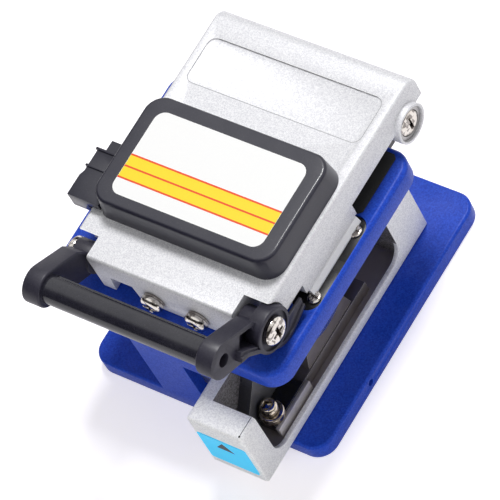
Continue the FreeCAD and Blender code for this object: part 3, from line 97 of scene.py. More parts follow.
class Net:
    """A node tree that is being filled in."""

    def __init__(self, tree: bpy.types.NodeTree) -> None:
        """Starts on an existing tree.

        Args:
            tree: the tree that the nodes go into.
        """
        self.tree = tree

    def feed(self, socket: Socket, value: Value) -> None:
        """Links a socket to another node's output, or sets it to a constant.

        Args:
            socket: the socket.
            value: the output or the constant.
        """
        if isinstance(value, Socket):
            self.tree.links.new(value, socket)
        else:
            socket.default_value = value

    def add(self, kind: str, inputs: Optional[dict] = None, **settings: object) -> bpy.types.Node:
        """Adds a node and fills its inputs.

        Args:
            kind: the node's type name, without a leading ShaderNode.
            inputs: socket name or index to a constant or to another node's output.
            settings: properties of the node itself.

        Returns:
            The new node.
        """
        whole = kind.startswith(("NodeGroup", "Geometry", "Function"))
        node = self.tree.nodes.new(kind if whole else "ShaderNode" + kind)
        for key, value in settings.items():
            setattr(node, key, value)
        for key, value in (inputs or {}).items():
            self.feed(node.inputs[key], value)
        return node

    def math(self, operation: str, a: Value, b: Value = 0.0, clamp: bool = False) -> Socket:
        """Adds a Math node.

        Args:
            operation: the operation's name.
            a: first value.
            b: second value.
            clamp: whether the result is held within 0 and 1.

        Returns:
            The node's output.
        """
        return self.add("Math", {0: a, 1: b}, operation=operation, use_clamp=clamp).outputs[0]

    def vector(self, operation: str, a: Value, b: Value, output: str = "Vector") -> Socket:
        """Adds a Vector Math node.

        Args:
            operation: the operation's name.
            a: first vector.
            b: second vector.
            output: the output's name, Value for a product or a distance.

        Returns:
            The node's output.
        """
        return self.add("VectorMath", {0: a, 1: b}, operation=operation).outputs[output]

    def remap(self, value: Value, low: float, high: float, to_low: float = 0.0,
              to_high: float = 1.0) -> Socket:
        """Adds a clamped Map Range node.

        Args:
            value: the value to map.
            low: start of the source range.
            high: end of the source range.
            to_low: start of the target range.
            to_high: end of the target range.

        Returns:
            The node's output.
        """
        source = {"Value": value, "From Min": low, "From Max": high}
        return self.add("MapRange", {**source, "To Min": to_low, "To Max": to_high}).outputs[0]

    def mix(self, factor: Value, a: Value, b: Value) -> Socket:
        """Adds a colour mix.

        Args:
            factor: 0 gives the first colour, 1 the second.
            a: first colour.
            b: second colour.

        Returns:
            The mixed colour.
        """
        first, second = (value if isinstance(value, Socket) else rgba(value) for value in (a, b))
        return self.add("Mix", {0: factor, 6: first, 7: second}, data_type="RGBA").outputs[2]

    def place(self) -> Socket:
        """The shaded point in its object's coordinates."""
        return self.add("TexCoord").outputs["Object"]

    def normal(self) -> Socket:
        """The shaded point's normal."""
        return self.add("NewGeometry").outputs["Normal"]

    def noise(self, scale: Value, detail: float, **more: Value) -> Socket:
        """Adds noise in the object's coordinates.

        Args:
            scale: waves to the metre.
            detail: finer layers on top of the first.
            more: other inputs of the node, such as a Vector of its own.

        Returns:
            The noise, around 0.5.
        """
        if "Vector" not in more:
            more["Vector"] = self.place()
        return self.add("TexNoise", {"Scale": scale, "Detail": detail, **more}).outputs[0]


def start_group(name: str, inputs: dict[str, float],
                *outputs: str) -> tuple[Net, dict[str, Socket], dict[str, Socket]]:
    """Starts a shader node group whose inputs and outputs are plain numbers.

    Args:
        name: the group's name.
        inputs: input name to default value.
        outputs: the outputs' names.

    Returns:
        The net, the group's inputs by name, and the sockets that take its outputs by name.
    """
    tree = bpy.data.node_groups.new(name, "ShaderNodeTree")
    for key, default in inputs.items():
        socket = tree.interface.new_socket(key, in_out="INPUT", socket_type="NodeSocketFloat")
        socket.default_value = default
    for key in outputs:
        tree.interface.new_socket(key, in_out="OUTPUT", socket_type="NodeSocketFloat")
    net = Net(tree)
    given, out = net.add("NodeGroupInput").outputs, net.add("NodeGroupOutput").inputs
    return net, {key: given[key] for key in inputs}, {key: out[key] for key in outputs}


def start_geometry_group(name: str) -> tuple[Net, Socket, Socket]:
    """Starts a geometry node group that takes one geometry and gives one.

    Args:
        name: the group's name.

    Returns:
        The net, the given geometry, and the socket that takes the result.
    """
    tree = bpy.data.node_groups.new(name, "GeometryNodeTree")
    for way in ("INPUT", "OUTPUT"):
        tree.interface.new_socket("Geometry", in_out=way, socket_type="NodeSocketGeometry")
    net = Net(tree)
    return net, net.add("NodeGroupInput").outputs[0], net.add("NodeGroupOutput").inputs[0]


class SurfaceEffects:
    """The effects that several finishes share, each a node group built once."""

    def __init__(self) -> None:
        """Builds every group."""
        self.speckle = self.build_speckle()
        self.edge_wear_and_highlight = self.build_worn_and_highlit_edges()
        self.brushing = self.build_brushing()
        self.handling = self.build_handling()
        self.dust = self.build_dust()

    @staticmethod
    def build_speckle() -> bpy.types.NodeTree:
        """Grains of a cast or flake-filled coat: a mask of light grains and a height.

        Returns:
            The group.
        """
        noise_share, flake_share, gain = 0.65, 0.35, 2.6
        net, given, out = start_group("cast_speckle", {"Grain mm": 0.3, "Contrast": 1.0},
                                      "Mask", "Height")
        scale = net.math("DIVIDE", 1.0 / MM, given["Grain mm"])
        fine = net.noise(scale, 2.0, Roughness=0.6)
        cells = net.add("TexVoronoi", {"Vector": net.place(), "Scale": scale}).outputs["Color"]
        flake = net.add("SeparateColor", {0: cells}).outputs[0]
        both = net.math("ADD", net.math("MULTIPLY", fine, noise_share),
                        net.math("MULTIPLY", flake, flake_share))
        centred = net.math("MULTIPLY", net.math("SUBTRACT", both, 0.5), given["Contrast"])
        net.feed(out["Mask"], net.math("ADD", net.math("MULTIPLY", centred, gain), 0.5, clamp=True))
        net.feed(out["Height"], both)
        return net.tree

    @staticmethod
    def build_worn_and_highlit_edges() -> bpy.types.NodeTree:
        """Rubbed edges and corners, and painted highlights along edges: a mask that is 1 on the
        edge, broken up by noise.

        Returns:
            The group.
        """
        patches_per_m, first_turn, full_turn = 420.0, 0.01, 0.16
        net, given, out = start_group("rubbed_and_highlit_edges", {"Width mm": 0.3, "Breakup": 0.4}, "Mask")
        radius = net.math("MULTIPLY", given["Width mm"], MM)
        rounded = net.add("Bevel", {"Radius": radius}, samples=4).outputs[0]
        alike = net.vector("DOT_PRODUCT", rounded, net.normal(), "Value")
        edge = net.remap(net.math("SUBTRACT", 1.0, alike), first_turn, full_turn)
        patches = net.noise(patches_per_m, 3.0)
        kept = net.math("SUBTRACT", 1.0, net.math("MULTIPLY", patches, given["Breakup"]))
        net.feed(out["Mask"], net.math("MULTIPLY", edge, kept, clamp=True))
        return net.tree

    @staticmethod
    def build_brushing() -> bpy.types.NodeTree:
        """Fine grinding lines along the axis with the least stretch: a mask and a height.

        Returns:
            The group.
        """
        axes = {"Along X": 1.0, "Along Y": 0.02, "Along Z": 1.0}
        net, given, out = start_group("grinding_lines", {"Lines per mm": 9.0, **axes},
                                      "Mask", "Height")
        stretch = net.add("CombineXYZ", {k: given[axis] for k, axis in enumerate(axes)}).outputs[0]
        drawn = net.vector("MULTIPLY", net.place(), stretch)
        scale = net.math("DIVIDE", given["Lines per mm"], MM)
        lines = net.noise(scale, 3.0, Vector=drawn, Roughness=0.7)
        net.feed(out["Mask"], net.remap(lines, 0.3, 0.7))
        net.feed(out["Height"], lines)
        return net.tree

    @staticmethod
    def build_handling() -> bpy.types.NodeTree:
        """Soft patches left by fingers: a value around 0 that shifts the roughness.

        Returns:
            The group.
        """
        net, given, out = start_group("handling_marks", {"Patch mm": 9.0, "Amount": 0.06}, "Shift")
        scale = net.math("DIVIDE", 1.0 / MM, given["Patch mm"])
        patches = net.noise(scale, 4.0, Distortion=0.6)
        centred = net.math("MULTIPLY", net.math("SUBTRACT", patches, 0.5), 2.0)
        net.feed(out["Shift"], net.math("MULTIPLY", centred, given["Amount"]))
        return net.tree

    @staticmethod
    def build_dust() -> bpy.types.NodeTree:
        """Dust on faces that look up: a thin mask with small specks.

        Returns:
            The group.
        """
        haze_per_m, specks_per_m = 160.0, 2600.0
        net, given, out = start_group("settled_dust", {"Amount": 0.05}, "Mask")
        up = net.add("SeparateXYZ", {0: net.normal()}).outputs[2]
        haze = net.remap(net.noise(haze_per_m, 5.0), 0.35, 0.75, 0.0, 0.6)
        specks = net.remap(net.noise(specks_per_m, 1.0), 0.66, 0.74, 0.0, 0.8)
        lying = net.math("MULTIPLY", net.math("ADD", haze, specks), net.remap(up, 0.2, 1.0))
        net.feed(out["Mask"], net.math("MULTIPLY", lying, given["Amount"], clamp=True))
        return net.tree


class MaterialSheet:
    """A material that is being laid out: its net, its shader and the shared effects."""

    def __init__(self, name: str, effects: SurfaceEffects) -> None:
        """Makes an empty material with one Principled shader.

        Args:
            name: the material's name.
            effects: the shared node groups.
        """
        self.material = bpy.data.materials.new(name)
        self.material.use_nodes = True
        self.material.node_tree.nodes.clear()
        self.net = Net(self.material.node_tree)
        self.effects = effects
        self.shader = self.net.add("BsdfPrincipled")
        self.net.add("OutputMaterial", {"Surface": self.shader.outputs[0]})

    def effect(self, tree: bpy.types.NodeTree, **values: float) -> bpy.types.NodeOutputs:
        """Places a shared effect.

        Args:
            tree: the effect's group.
            values: input name to value; underscores stand for spaces.

        Returns:
            The effect's outputs.
        """
        inputs = {key.replace("_", " "): value for key, value in values.items()}
        return self.net.add("Group", inputs, node_tree=tree).outputs

    def speckle(self, grain_mm: float, contrast: float) -> bpy.types.NodeOutputs:
        """Grains: their Mask and Height."""
        return self.effect(self.effects.speckle, Grain_mm=grain_mm, Contrast=contrast)

    def lines(self, per_mm: float, stretch: Point) -> bpy.types.NodeOutputs:
        """Grinding lines: their Mask and Height."""
        axes = dict(zip(("Along_X", "Along_Y", "Along_Z"), stretch))
        return self.effect(self.effects.brushing, Lines_per_mm=per_mm, **axes)

    def marks(self, patch_mm: float, amount: float) -> Socket:
        """Handling marks, as a shift around 0."""
        return self.effect(self.effects.handling, Patch_mm=patch_mm, Amount=amount)["Shift"]

    def worn_and_highlit(self, colour: Socket, edge: Colour, width_mm: float, breakup: float,
             share: float) -> Socket:
        """Paints the edges another colour: rubbed wear, and a painted highlight where that colour
        is paler than the flats.

        Args:
            colour: the colour of the flats.
            edge: the colour of the edges: rubbed wear, and painted highlight where it is paler.
            width_mm: how wide the edges are painted.
            breakup: how much of the edge is left as it was, in patches.
            share: how strong the edge colour is.

        Returns:
            The colour with its edges painted.
        """
        wear_and_highlight = self.effect(self.effects.edge_wear_and_highlight, Width_mm=width_mm, Breakup=breakup)["Mask"]
        return self.net.mix(self.net.math("MULTIPLY", wear_and_highlight, share), colour, edge)

    def dusted(self, colour: Socket, amount: float, tone: Colour) -> Socket:
        """Lays dust of a tone on a colour."""
        return self.net.mix(self.effect(self.effects.dust, Amount=amount)["Mask"], colour, tone)

    def rough(self, base: Value, marks: Socket, clamp: bool = False) -> Socket:
        """The roughness with handling marks on it."""
        return self.net.math("ADD", base, marks, clamp)

    def set(self, **sockets: Value) -> None:
        """Fills the shader's sockets; underscores in the names stand for spaces."""
        for key, value in sockets.items():
            self.net.feed(self.shader.inputs[key.replace("_", " ")], value)

    def bump(self, height: Socket, depth_mm: float) -> None:
        """Feeds a height to the shader's normal.

        Args:
            height: the height, in shares of the depth.
            depth_mm: how deep a height of 1 is.
        """
        inputs = {"Height": height, "Distance": depth_mm * MM, "Strength": 1.0}
        self.set(Normal=self.net.add("Bump", inputs).outputs[0])


# ---------------------------------------------------------------- finishes
@dataclass(frozen=True)
class Finish:
    """What every finish has: a name, and nodes that it lays out on a sheet."""

    name: str

    def lay_out(self, sheet: MaterialSheet) -> None:
        """Lays out the finish's nodes.

        Args:
            sheet: the sheet of the material.
        """
        raise NotImplementedError(self.name)


@dataclass(frozen=True)
class CastCoat(Finish):
    """Coat on a cast part: grains of two tones, lighter edges that are rubbed wear and painted
    highlight, faint handling marks.
    """

    dark: Colour
    light: Colour
    edge: Colour
    grain_mm: float
    contrast: float
    metallic: float
    roughness: float
    bump_mm: float
    edge_mm: float = 0.35
    specular: float = 0.5
    dark_grain_rougher: float = 0.08
    dust_tone: Colour = (0.7, 0.69, 0.67)

    def lay_out(self, sheet: MaterialSheet) -> None:
        """Lays out the finish's nodes.

        Args:
            sheet: the sheet of the material.
        """
        net, grain = sheet.net, sheet.speckle(self.grain_mm, self.contrast)
        # the edges take the edge colour: rubbed wear, and painted highlight where that colour is
        # paler
        worn_and_highlit = sheet.worn_and_highlit(net.mix(grain["Mask"], self.dark, self.light), self.edge,
                          width_mm=self.edge_mm, breakup=0.5, share=0.7)
        rough = net.remap(grain["Mask"], 0.0, 1.0, self.roughness + self.dark_grain_rougher,
                          self.roughness)
        sheet.set(Base_Color=sheet.dusted(worn_and_highlit, amount=0.03, tone=self.dust_tone),
                  Roughness=sheet.rough(rough, sheet.marks(patch_mm=11.0, amount=0.05)),
                  Metallic=self.metallic, Specular_IOR_Level=self.specular)
        sheet.bump(grain["Height"], self.bump_mm)


@dataclass(frozen=True)
class MouldedPlastic(Finish):
    """Dark plastic, rubber or oxide coat with a fine grain; drawn_mm adds lines along X."""

    colour: Colour
    sheen: Colour
    grain_mm: float
    roughness: float
    bump_mm: float
    edge: Colour = (0.10, 0.10, 0.12)
    edge_share: float = 0.5
    sheen_share: float = 0.5
    ior: float = 1.5
    drawn_mm: float = 0.0
    coat: float = 0.0
    dust_tone: Colour = (0.5, 0.49, 0.47)

    def lay_out(self, sheet: MaterialSheet) -> None:
        """Lays out the finish's nodes.

        Args:
            sheet: the sheet of the material.
        """
        net, grain = sheet.net, sheet.speckle(self.grain_mm, contrast=0.7)
        base = net.mix(net.math("MULTIPLY", grain["Mask"], self.sheen_share), self.colour,
                       self.sheen)
        # the edges take the edge colour: rubbed wear, and painted highlight where that colour is
        # paler
        worn_and_highlit = sheet.worn_and_highlit(base, self.edge, width_mm=0.12, breakup=0.7, share=self.edge_share)
        sheet.set(Base_Color=sheet.dusted(worn_and_highlit, amount=0.04, tone=self.dust_tone),
                  Roughness=sheet.rough(self.roughness, sheet.marks(patch_mm=7.0, amount=0.07)),
                  IOR=self.ior, Coat_Weight=self.coat, Coat_Roughness=0.1)
        height = grain["Height"]
        if self.drawn_mm > 0:
            lines = sheet.lines(per_mm=1.1, stretch=(0.01, 1.0, 1.0))["Height"]
            drawn = net.math("MULTIPLY", lines, self.drawn_mm / self.bump_mm)
            height = net.math("ADD", height, drawn)
        sheet.bump(height, self.bump_mm)


@dataclass(frozen=True)
class PlatedMetal(Finish):
    """Bright plating with stains; painted shade darkens its recesses, and painted dark reflections
    lie in soft patches.
    """

    colour: Colour
    stain: Colour
    shade: Colour
    roughness: float
    stain_share: float = 0.5
    dark_reflection_share: float = 0.7
    recess_depth: float = 1.1 * MM

    def lay_out(self, sheet: MaterialSheet) -> None:
        """Lays out the finish's nodes.

        Args:
            sheet: the sheet of the material.
        """
        net, marks = sheet.net, sheet.marks(patch_mm=1.6, amount=0.07)
        stained = net.remap(marks, -0.06, 0.06, 0.0, self.stain_share)
        plated = net.mix(stained, self.colour, self.stain)
        # painted shade: where ambient occlusion finds a recess, the plating turns to the shade
        # colour
        openness = net.add("AmbientOcclusion", {"Distance": self.recess_depth}, samples=8)
        painted_recess_shade = net.remap(openness.outputs["AO"], 0.35, 0.92, 1.0, 0.0)
        # painted reflection: soft patches turned towards the shade colour stand for dark
        # reflections
        patches = sheet.marks(patch_mm=1.5, amount=1.0)
        painted_dark_reflection = net.remap(patches, 0.0, 0.12, 0.0, self.dark_reflection_share)
        shaded = net.mix(net.math("MAXIMUM", painted_recess_shade, painted_dark_reflection), plated, self.shade)
        sheet.set(Base_Color=shaded, Metallic=1.0,
                  Roughness=sheet.rough(self.roughness, marks, clamp=True))
        sheet.bump(sheet.speckle(grain_mm=1.2, contrast=0.4)["Height"], depth_mm=0.02)


@dataclass(frozen=True)
class GroundMetal(Finish):
    """Ground or milled metal with lines along one axis."""

    dark: Colour
    light: Colour
    stretch: Point
    roughness: float
    lines_per_mm: float = 7.0
    gap_rougher: float = 0.07
    edge: Colour = (0.85, 0.85, 0.86)

    def lay_out(self, sheet: MaterialSheet) -> None:
        """Lays out the finish's nodes.

        Args:
            sheet: the sheet of the material.
        """
        net, lines = sheet.net, sheet.lines(self.lines_per_mm, self.stretch)
        tone = net.mix(lines["Mask"], self.dark, self.light)
        rough = net.remap(lines["Mask"], 0.0, 1.0, self.roughness + self.gap_rougher,
                          self.roughness)
        # the paler edge colour is painted highlight along the metal's edges, with some rubbed wear
        sheet.set(Base_Color=sheet.worn_and_highlit(tone, self.edge, width_mm=0.12, breakup=0.3, share=0.5),
                  Roughness=sheet.rough(rough, sheet.marks(patch_mm=5.0, amount=0.08)),
                  Metallic=1.0)
        sheet.bump(lines["Height"], depth_mm=0.01)


@dataclass(frozen=True)
class GroundDisc(Finish):
    """A ground disc with circular lines and a paler rim, which is its ground bevel with a painted
    highlight; its axis is parallel to X.
    """

    dark: Colour
    light: Colour
    hub_y: float
    hub_z: float
    rim_from: float
    rim_fade: float = 0.1 * MM
    rim: Colour = (0.95, 0.95, 0.95)
    roughness: float = 0.2
    rim_roughness: float = 0.4
    rim_metallic: float = 0.35
    lines_per_m: float = 6000.0

    def lay_out(self, sheet: MaterialSheet) -> None:
        """Lays out the finish's nodes.

        Args:
            sheet: the sheet of the material.
        """
        net = sheet.net
        flat = net.vector("MULTIPLY", net.place(), (0.0, 1.0, 1.0))
        out = net.vector("DISTANCE", flat, (0.0, self.hub_y, self.hub_z), "Value")
        along = net.math("MULTIPLY", out, self.lines_per_m)
        lines = net.add("TexNoise", {"W": along, "Scale": 1.0, "Detail": 3.0},
                        noise_dimensions="1D").outputs[0]
        # painted highlight: near the rim the disc turns near white and less metallic
        rim = net.remap(out, self.rim_from, self.rim_from + self.rim_fade)
        face = net.mix(net.remap(lines, 0.3, 0.7), self.dark, self.light)
        rough = net.remap(rim, 0.0, 1.0, self.roughness, self.rim_roughness)
        sheet.set(Base_Color=net.mix(rim, face, self.rim),
                  Metallic=net.remap(rim, 0.0, 1.0, 1.0, self.rim_metallic),
                  Roughness=sheet.rough(rough, sheet.marks(patch_mm=4.0, amount=0.06)))
        sheet.bump(lines, depth_mm=0.006)


@dataclass(frozen=True)
class BlackedSteel(Finish):
    """Steel blacked in front of a line across Y and left a cloudy grey behind it."""

    black: Colour
    ground: Colour
    ground_light: Colour
    line_y: float
    fade: float = 1.2 * MM
    edge: Colour = (0.80, 0.78, 0.75)
    black_roughness: float = 0.24
    ground_roughness: float = 0.42
    ground_metallic: float = 0.6

    def lay_out(self, sheet: MaterialSheet) -> None:
        """Lays out the finish's nodes.

        Args:
            sheet: the sheet of the material.
        """
        net, marks = sheet.net, sheet.marks(patch_mm=8.0, amount=0.10)
        along = net.add("SeparateXYZ", {0: net.place()}).outputs[1]
        bare = net.remap(along, self.line_y - self.fade, self.line_y + self.fade)
        steel = net.mix(net.remap(marks, -0.06, 0.06), self.ground, self.ground_light)
        # the pale edge colour is painted highlight along the steel's edges, with some rubbed wear
        worn_and_highlit = sheet.worn_and_highlit(net.mix(bare, self.black, steel), self.edge,
                          width_mm=0.14, breakup=0.3, share=0.8)
        rough = net.remap(bare, 0.0, 1.0, self.black_roughness, self.ground_roughness)
        sheet.set(Base_Color=worn_and_highlit, Metallic=net.math("MULTIPLY", bare, self.ground_metallic),
                  Roughness=sheet.rough(rough, marks))
        grain = sheet.speckle(grain_mm=0.3, contrast=0.8)["Height"]
        lines = sheet.lines(per_mm=5.0, stretch=(1.0, 0.05, 1.0))["Height"]
        sheet.bump(net.math("ADD", grain, lines), depth_mm=0.012)


@dataclass(frozen=True)
class PrintedSheet(Finish):
    """Ink or film on a smooth sheet, with a little fibre and gloss variation; a glow, where given,
    is painted light.
    """

    colour: Colour
    tint: Colour
    roughness: float
    glow: float = 0.0
    tint_share: float = 0.6

    def lay_out(self, sheet: MaterialSheet) -> None:
        """Lays out the finish's nodes.

        Args:
            sheet: the sheet of the material.
        """
        net, fibre = sheet.net, sheet.speckle(grain_mm=0.4, contrast=0.6)
        tone = net.math("MULTIPLY", fibre["Mask"], self.tint_share)
        sheet.set(Base_Color=net.mix(tone, self.colour, self.tint),
                  Roughness=sheet.rough(self.roughness, sheet.marks(patch_mm=6.0, amount=0.05)))
        # painted light: the sheet gives off light of its own, so it looks brighter than the lamps
        # make it
        if self.glow > 0:
            sheet.set(Emission_Color=rgba(self.colour), Emission_Strength=self.glow)
        sheet.bump(fibre["Height"], depth_mm=0.003)


SILVER = CastCoat(
    "silver_cast", dark=(0.66, 0.66, 0.70), light=(0.92, 0.92, 0.94), edge=(0.98, 0.98, 0.99),
    grain_mm=0.22, contrast=0.95, metallic=0.15, roughness=0.45, bump_mm=0.020)
# Painted shade: a dark copy of the cast coat for the faces inside the slider's pocket, where the
# deck shades them.
POCKET_SHADE_CAST = CastCoat(
    "pocket_cast_painted_shade", dark=(0.075, 0.070, 0.070), light=(0.22, 0.21, 0.22), edge=(0.5, 0.5, 0.52),
    grain_mm=0.30, contrast=1.2, metallic=0.2, roughness=0.5, bump_mm=0.03, edge_mm=0.1)
# Partly painted light: the slider's own speckled silver coat, the same paint as the lid's, made
# paler so the slider looks as brightly lit as the lid.
SLIDER_CAST_LIT = CastCoat(
    "slider_cast_painted_light", dark=(0.78, 0.78, 0.80), light=WHITE, edge=WHITE,
    grain_mm=0.26, contrast=1.3, metallic=0.0, roughness=0.42, bump_mm=0.020)
# Painted highlight: a paler copy of the lid's silver coat for the lip along the tab, so it reads as
# the bright strip there.
LIP_HIGHLIGHT_CAST = CastCoat(
    "lip_cast_painted_highlight", dark=(0.93, 0.93, 0.97), light=(0.98, 0.98, 1.0), edge=WHITE,
    grain_mm=0.3, contrast=0.6, metallic=0.0, roughness=0.35, bump_mm=0.006)
# Its paler blue edges, laid wide, are painted highlight along the blue roundings, with some rubbed
# wear.
BLUE = CastCoat(
    "blue_anodised", dark=(0.010, 0.048, 0.44), light=(0.020, 0.084, 0.60), edge=(0.05, 0.15, 0.76),
    grain_mm=0.34, contrast=0.9, metallic=0.0, roughness=0.33, bump_mm=0.026, edge_mm=0.45,
    specular=0.16)
BLACK_SATIN = MouldedPlastic(
    "black_satin", (0.009, 0.009, 0.020), (0.022, 0.021, 0.042), grain_mm=0.22, roughness=0.42,
    bump_mm=0.005, edge=(0.06, 0.06, 0.09), edge_share=0.3, ior=1.45, coat=0.45)
BLACK_GLOSS = MouldedPlastic(
    "black_gloss", (0.020, 0.019, 0.032), (0.044, 0.041, 0.062), grain_mm=0.35, roughness=0.42,
    bump_mm=0.006, edge=(0.16, 0.16, 0.19), ior=1.45)
BLACK_DRAWN = MouldedPlastic(
    "black_drawn", (0.012, 0.012, 0.020), (0.028, 0.027, 0.042), grain_mm=0.35, roughness=0.15,
    bump_mm=0.003, edge=(0.16, 0.16, 0.19), ior=1.62, drawn_mm=0.03)
# Its near-white edge colour is painted highlight: bright lines along the wedge's edges.
WEDGE_BLACK = MouldedPlastic(
    "wedge_black", (0.055, 0.055, 0.062), (0.110, 0.108, 0.118), grain_mm=0.25, roughness=0.30,
    bump_mm=0.008, edge=(0.80, 0.78, 0.75), edge_share=0.9)
BLACK_OXIDE = MouldedPlastic(
    "black_oxide", (0.006, 0.006, 0.008), (0.020, 0.020, 0.024), grain_mm=0.25, roughness=0.30,
    bump_mm=0.006, edge=(0.35, 0.34, 0.33), edge_share=0.06, ior=1.35)
RUBBER = MouldedPlastic(
    "rubber_pad", (0.018, 0.018, 0.018), (0.035, 0.035, 0.035), grain_mm=0.15, roughness=0.72,
    bump_mm=0.015)
LOCK_NICKEL = PlatedMetal(
    "lock_nickel", (0.92, 0.82, 0.68), stain=(0.50, 0.42, 0.34), shade=(0.06, 0.045, 0.04),
    roughness=0.15)
NICKEL = PlatedMetal(
    "nickel", (0.90, 0.86, 0.81), stain=(0.62, 0.55, 0.48), shade=(0.08, 0.06, 0.055),
    roughness=0.10)
STEEL_Y = GroundMetal(
    "steel", dark=(0.34, 0.33, 0.33), light=(0.56, 0.55, 0.55), stretch=(1.0, 0.03, 1.0),
    roughness=0.26)
ALUMINIUM = GroundMetal(
    "aluminium", dark=(0.62, 0.62, 0.63), light=(0.80, 0.80, 0.81), stretch=(0.04, 1.0, 1.0),
    roughness=0.34, lines_per_mm=5.0)
PAPER_WHITE = PrintedSheet("white_label", (0.98, 0.98, 0.97), (0.95, 0.95, 0.95), roughness=0.34)
INK_YELLOW = PrintedSheet("label_yellow", (0.98, 0.76, 0.012), (0.95, 0.70, 0.010), roughness=0.45)
INK_RED = PrintedSheet("label_red", (0.90, 0.085, 0.012), (0.85, 0.07, 0.01), roughness=0.34)
# Its glow is painted light: the label shines as if more strongly lit.
FILM_BLUE = PrintedSheet("blue_label", (0.030, 0.62, 1.0), (0.026, 0.58, 1.0), roughness=0.45,
                         glow=0.22)
# Painted shade: grey for the shade line around the lid's recessed panel.
PANEL_SHADE_GREY = PrintedSheet("panel_shade_grey", (0.40, 0.40, 0.42), (0.36, 0.36, 0.38), roughness=0.6)
# Black for the arrow printed on the front label and for the slider's seam, and for painted shade
# along the rear edge of the lid's panel.
BLACK_INK_AND_SHADE = PrintedSheet("black_ink_and_shade", (0.02, 0.02, 0.022), (0.03, 0.03, 0.03), roughness=0.45)


class FinishStore:
    """Makes each finish's material the first time that it is asked for."""

    def __init__(self) -> None:
        """Builds the shared effects."""
        self.effects = SurfaceEffects()
        self.made: dict[str, bpy.types.Material] = {}

    def get(self, finish: Finish) -> bpy.types.Material:
        """Gives a finish's material.

        Args:
            finish: the finish.

        Returns:
            The material, the same one each time.
        """
        if finish.name not in self.made:
            sheet = MaterialSheet(finish.name, self.effects)
            finish.lay_out(sheet)
            self.made[finish.name] = sheet.material
        return self.made[finish.name]


# ---------------------------------------------------------------- meshes
def build_crisp_shading() -> bpy.types.NodeTree:
    """Joins coincident corners and shades smooth, except over sharp edges.

    Returns:
        The geometry group.
    """
    net, given, out = start_geometry_group("crisp_shading")
    corners = {"Geometry": given, "Distance": TINY}
    joined = net.add("GeometryNodeMergeByDistance", corners).outputs[0]
    angle = net.add("GeometryNodeInputMeshEdgeAngle").outputs[0]
    soft = net.add("FunctionNodeCompare", {0: angle, 1: SHARP}, operation="LESS_THAN").outputs[0]
    faces = net.add("GeometryNodeSetShadeSmooth", {0: joined}, domain="FACE").outputs[0]
    edges = net.add("GeometryNodeSetShadeSmooth", {0: faces, 2: soft}, domain="EDGE").outputs[0]
    net.feed(out, edges)
    return net.tree


def to_object(name: str, mesh: bmesh.types.BMesh) -> bpy.types.Object:
    """Turns a bmesh into a linked, smooth shaded object.

    Args:
        name: the new object's name.
        mesh: the mesh, which is freed.

    Returns:
        The new object.
    """
    bmesh.ops.recalc_face_normals(mesh, faces=mesh.faces)
    data = bpy.data.meshes.new(name)
    mesh.to_mesh(data)
    mesh.free()
    for polygon in data.polygons:
        polygon.use_smooth = True
    data.set_sharp_from_angle(angle=SHARP)
    obj = bpy.data.objects.new(name, data)
    bpy.context.scene.collection.objects.link(obj)
    return obj


def join(name: str, parts: Sequence[bpy.types.Object]) -> bpy.types.Object:
    """Joins objects that share one material.

    Args:
        name: the joined object's name.
        parts: the objects, which are used up.

    Returns:
        The joined object.
    """
    mesh = bmesh.new()
    for part in parts:
        mesh.from_mesh(part.data)
        bpy.data.objects.remove(part)
    return to_object(name, mesh)


def loft(name: str, loops: Sequence[Sequence[Point]], closed: bool = False) -> bpy.types.Object:
    """Skins loops that all have the same number of corners.

    Args:
        name: the new object's name.
        loops: the loops in order, each with its corners in order.
        closed: whether the last loop joins the first; otherwise each end gets a cap.

    Returns:
        The new object.
    """
    mesh = bmesh.new()
    rows = [[mesh.verts.new(corner) for corner in loop] for loop in loops]
    for one, other in zip(rows, rows[1:] + rows[:1] if closed else rows[1:]):
        for k, corner in enumerate(one):
            after = (k + 1) % len(one)
            mesh.faces.new((corner, one[after], other[after], other[k]))
    if not closed:
        mesh.faces.new(tuple(reversed(rows[0])))
        mesh.faces.new(rows[-1])
    return to_object(name, mesh)


def lathe(name: str, rings: Sequence[tuple[float, Radius]]) -> bpy.types.Object:
    """Turns a closed form about its local Z axis. A recess's radius changes with the angle.

    Args:
        name: the new object's name.
        rings: (height, radius) from the underside's centre, over the rim, to the upper centre.

    Returns:
        The new object, not yet placed.
    """
    steps = 72
    loops = []
    for height, radius in rings:
        loop = []
        for k in range(steps):
            angle = 2 * math.pi * k / steps
            r = radius(angle) if callable(radius) else radius
            loop.append((r * math.cos(angle), r * math.sin(angle), height))
        loops.append(loop)
    return loft(name, loops)


def flat_strip(name: str, corners: Sequence[Vector], thickness: float) -> bpy.types.Object:
    """Extrudes a flat outline away from its front side.

    Args:
        name: the new object's name.
        corners: the outline, anticlockwise as seen from outside.
        thickness: how thick the strip is, behind the outline.

    Returns:
        The new object.
    """
    normal = (corners[1] - corners[0]).cross(corners[2] - corners[0]).normalized()
    return loft(name, [[corner - normal * thickness for corner in corners], corners])


def flat_ring(name: str, outer: Sequence[Vector], inner: Sequence[Vector],
              thickness: float) -> bpy.types.Object:
    """Makes a flat closed band between two loops with the same number of corners.

    Args:
        name: the object's name.
        outer: the outer loop's corners in order, on the band's top.
        inner: the inner loop's corners in the same order.
        thickness: how far the band reaches down.

    Returns:
        The band.
    """
    down = UP * -thickness
    below = [[corner + down for corner in loop] for loop in (inner, outer)]
    return loft(name, [outer, inner, *below], closed=True)


def rectangle(x: tuple[float, float], y: tuple[float, float], z: float) -> list[Vector]:
    """A level rectangle's corners, anticlockwise from above."""
    return [Vector((x[0], y[0], z)), Vector((x[1], y[0], z)), Vector((x[1], y[1], z)),
            Vector((x[0], y[1], z))]


def arc(x: float, y: float, z: float, radius: float, turns: Sequence[float]) -> list[Vector]:
    """Points on a level circle at the given angles."""
    return [Vector((x + radius * math.cos(turn), y + radius * math.sin(turn), z)) for turn in turns]


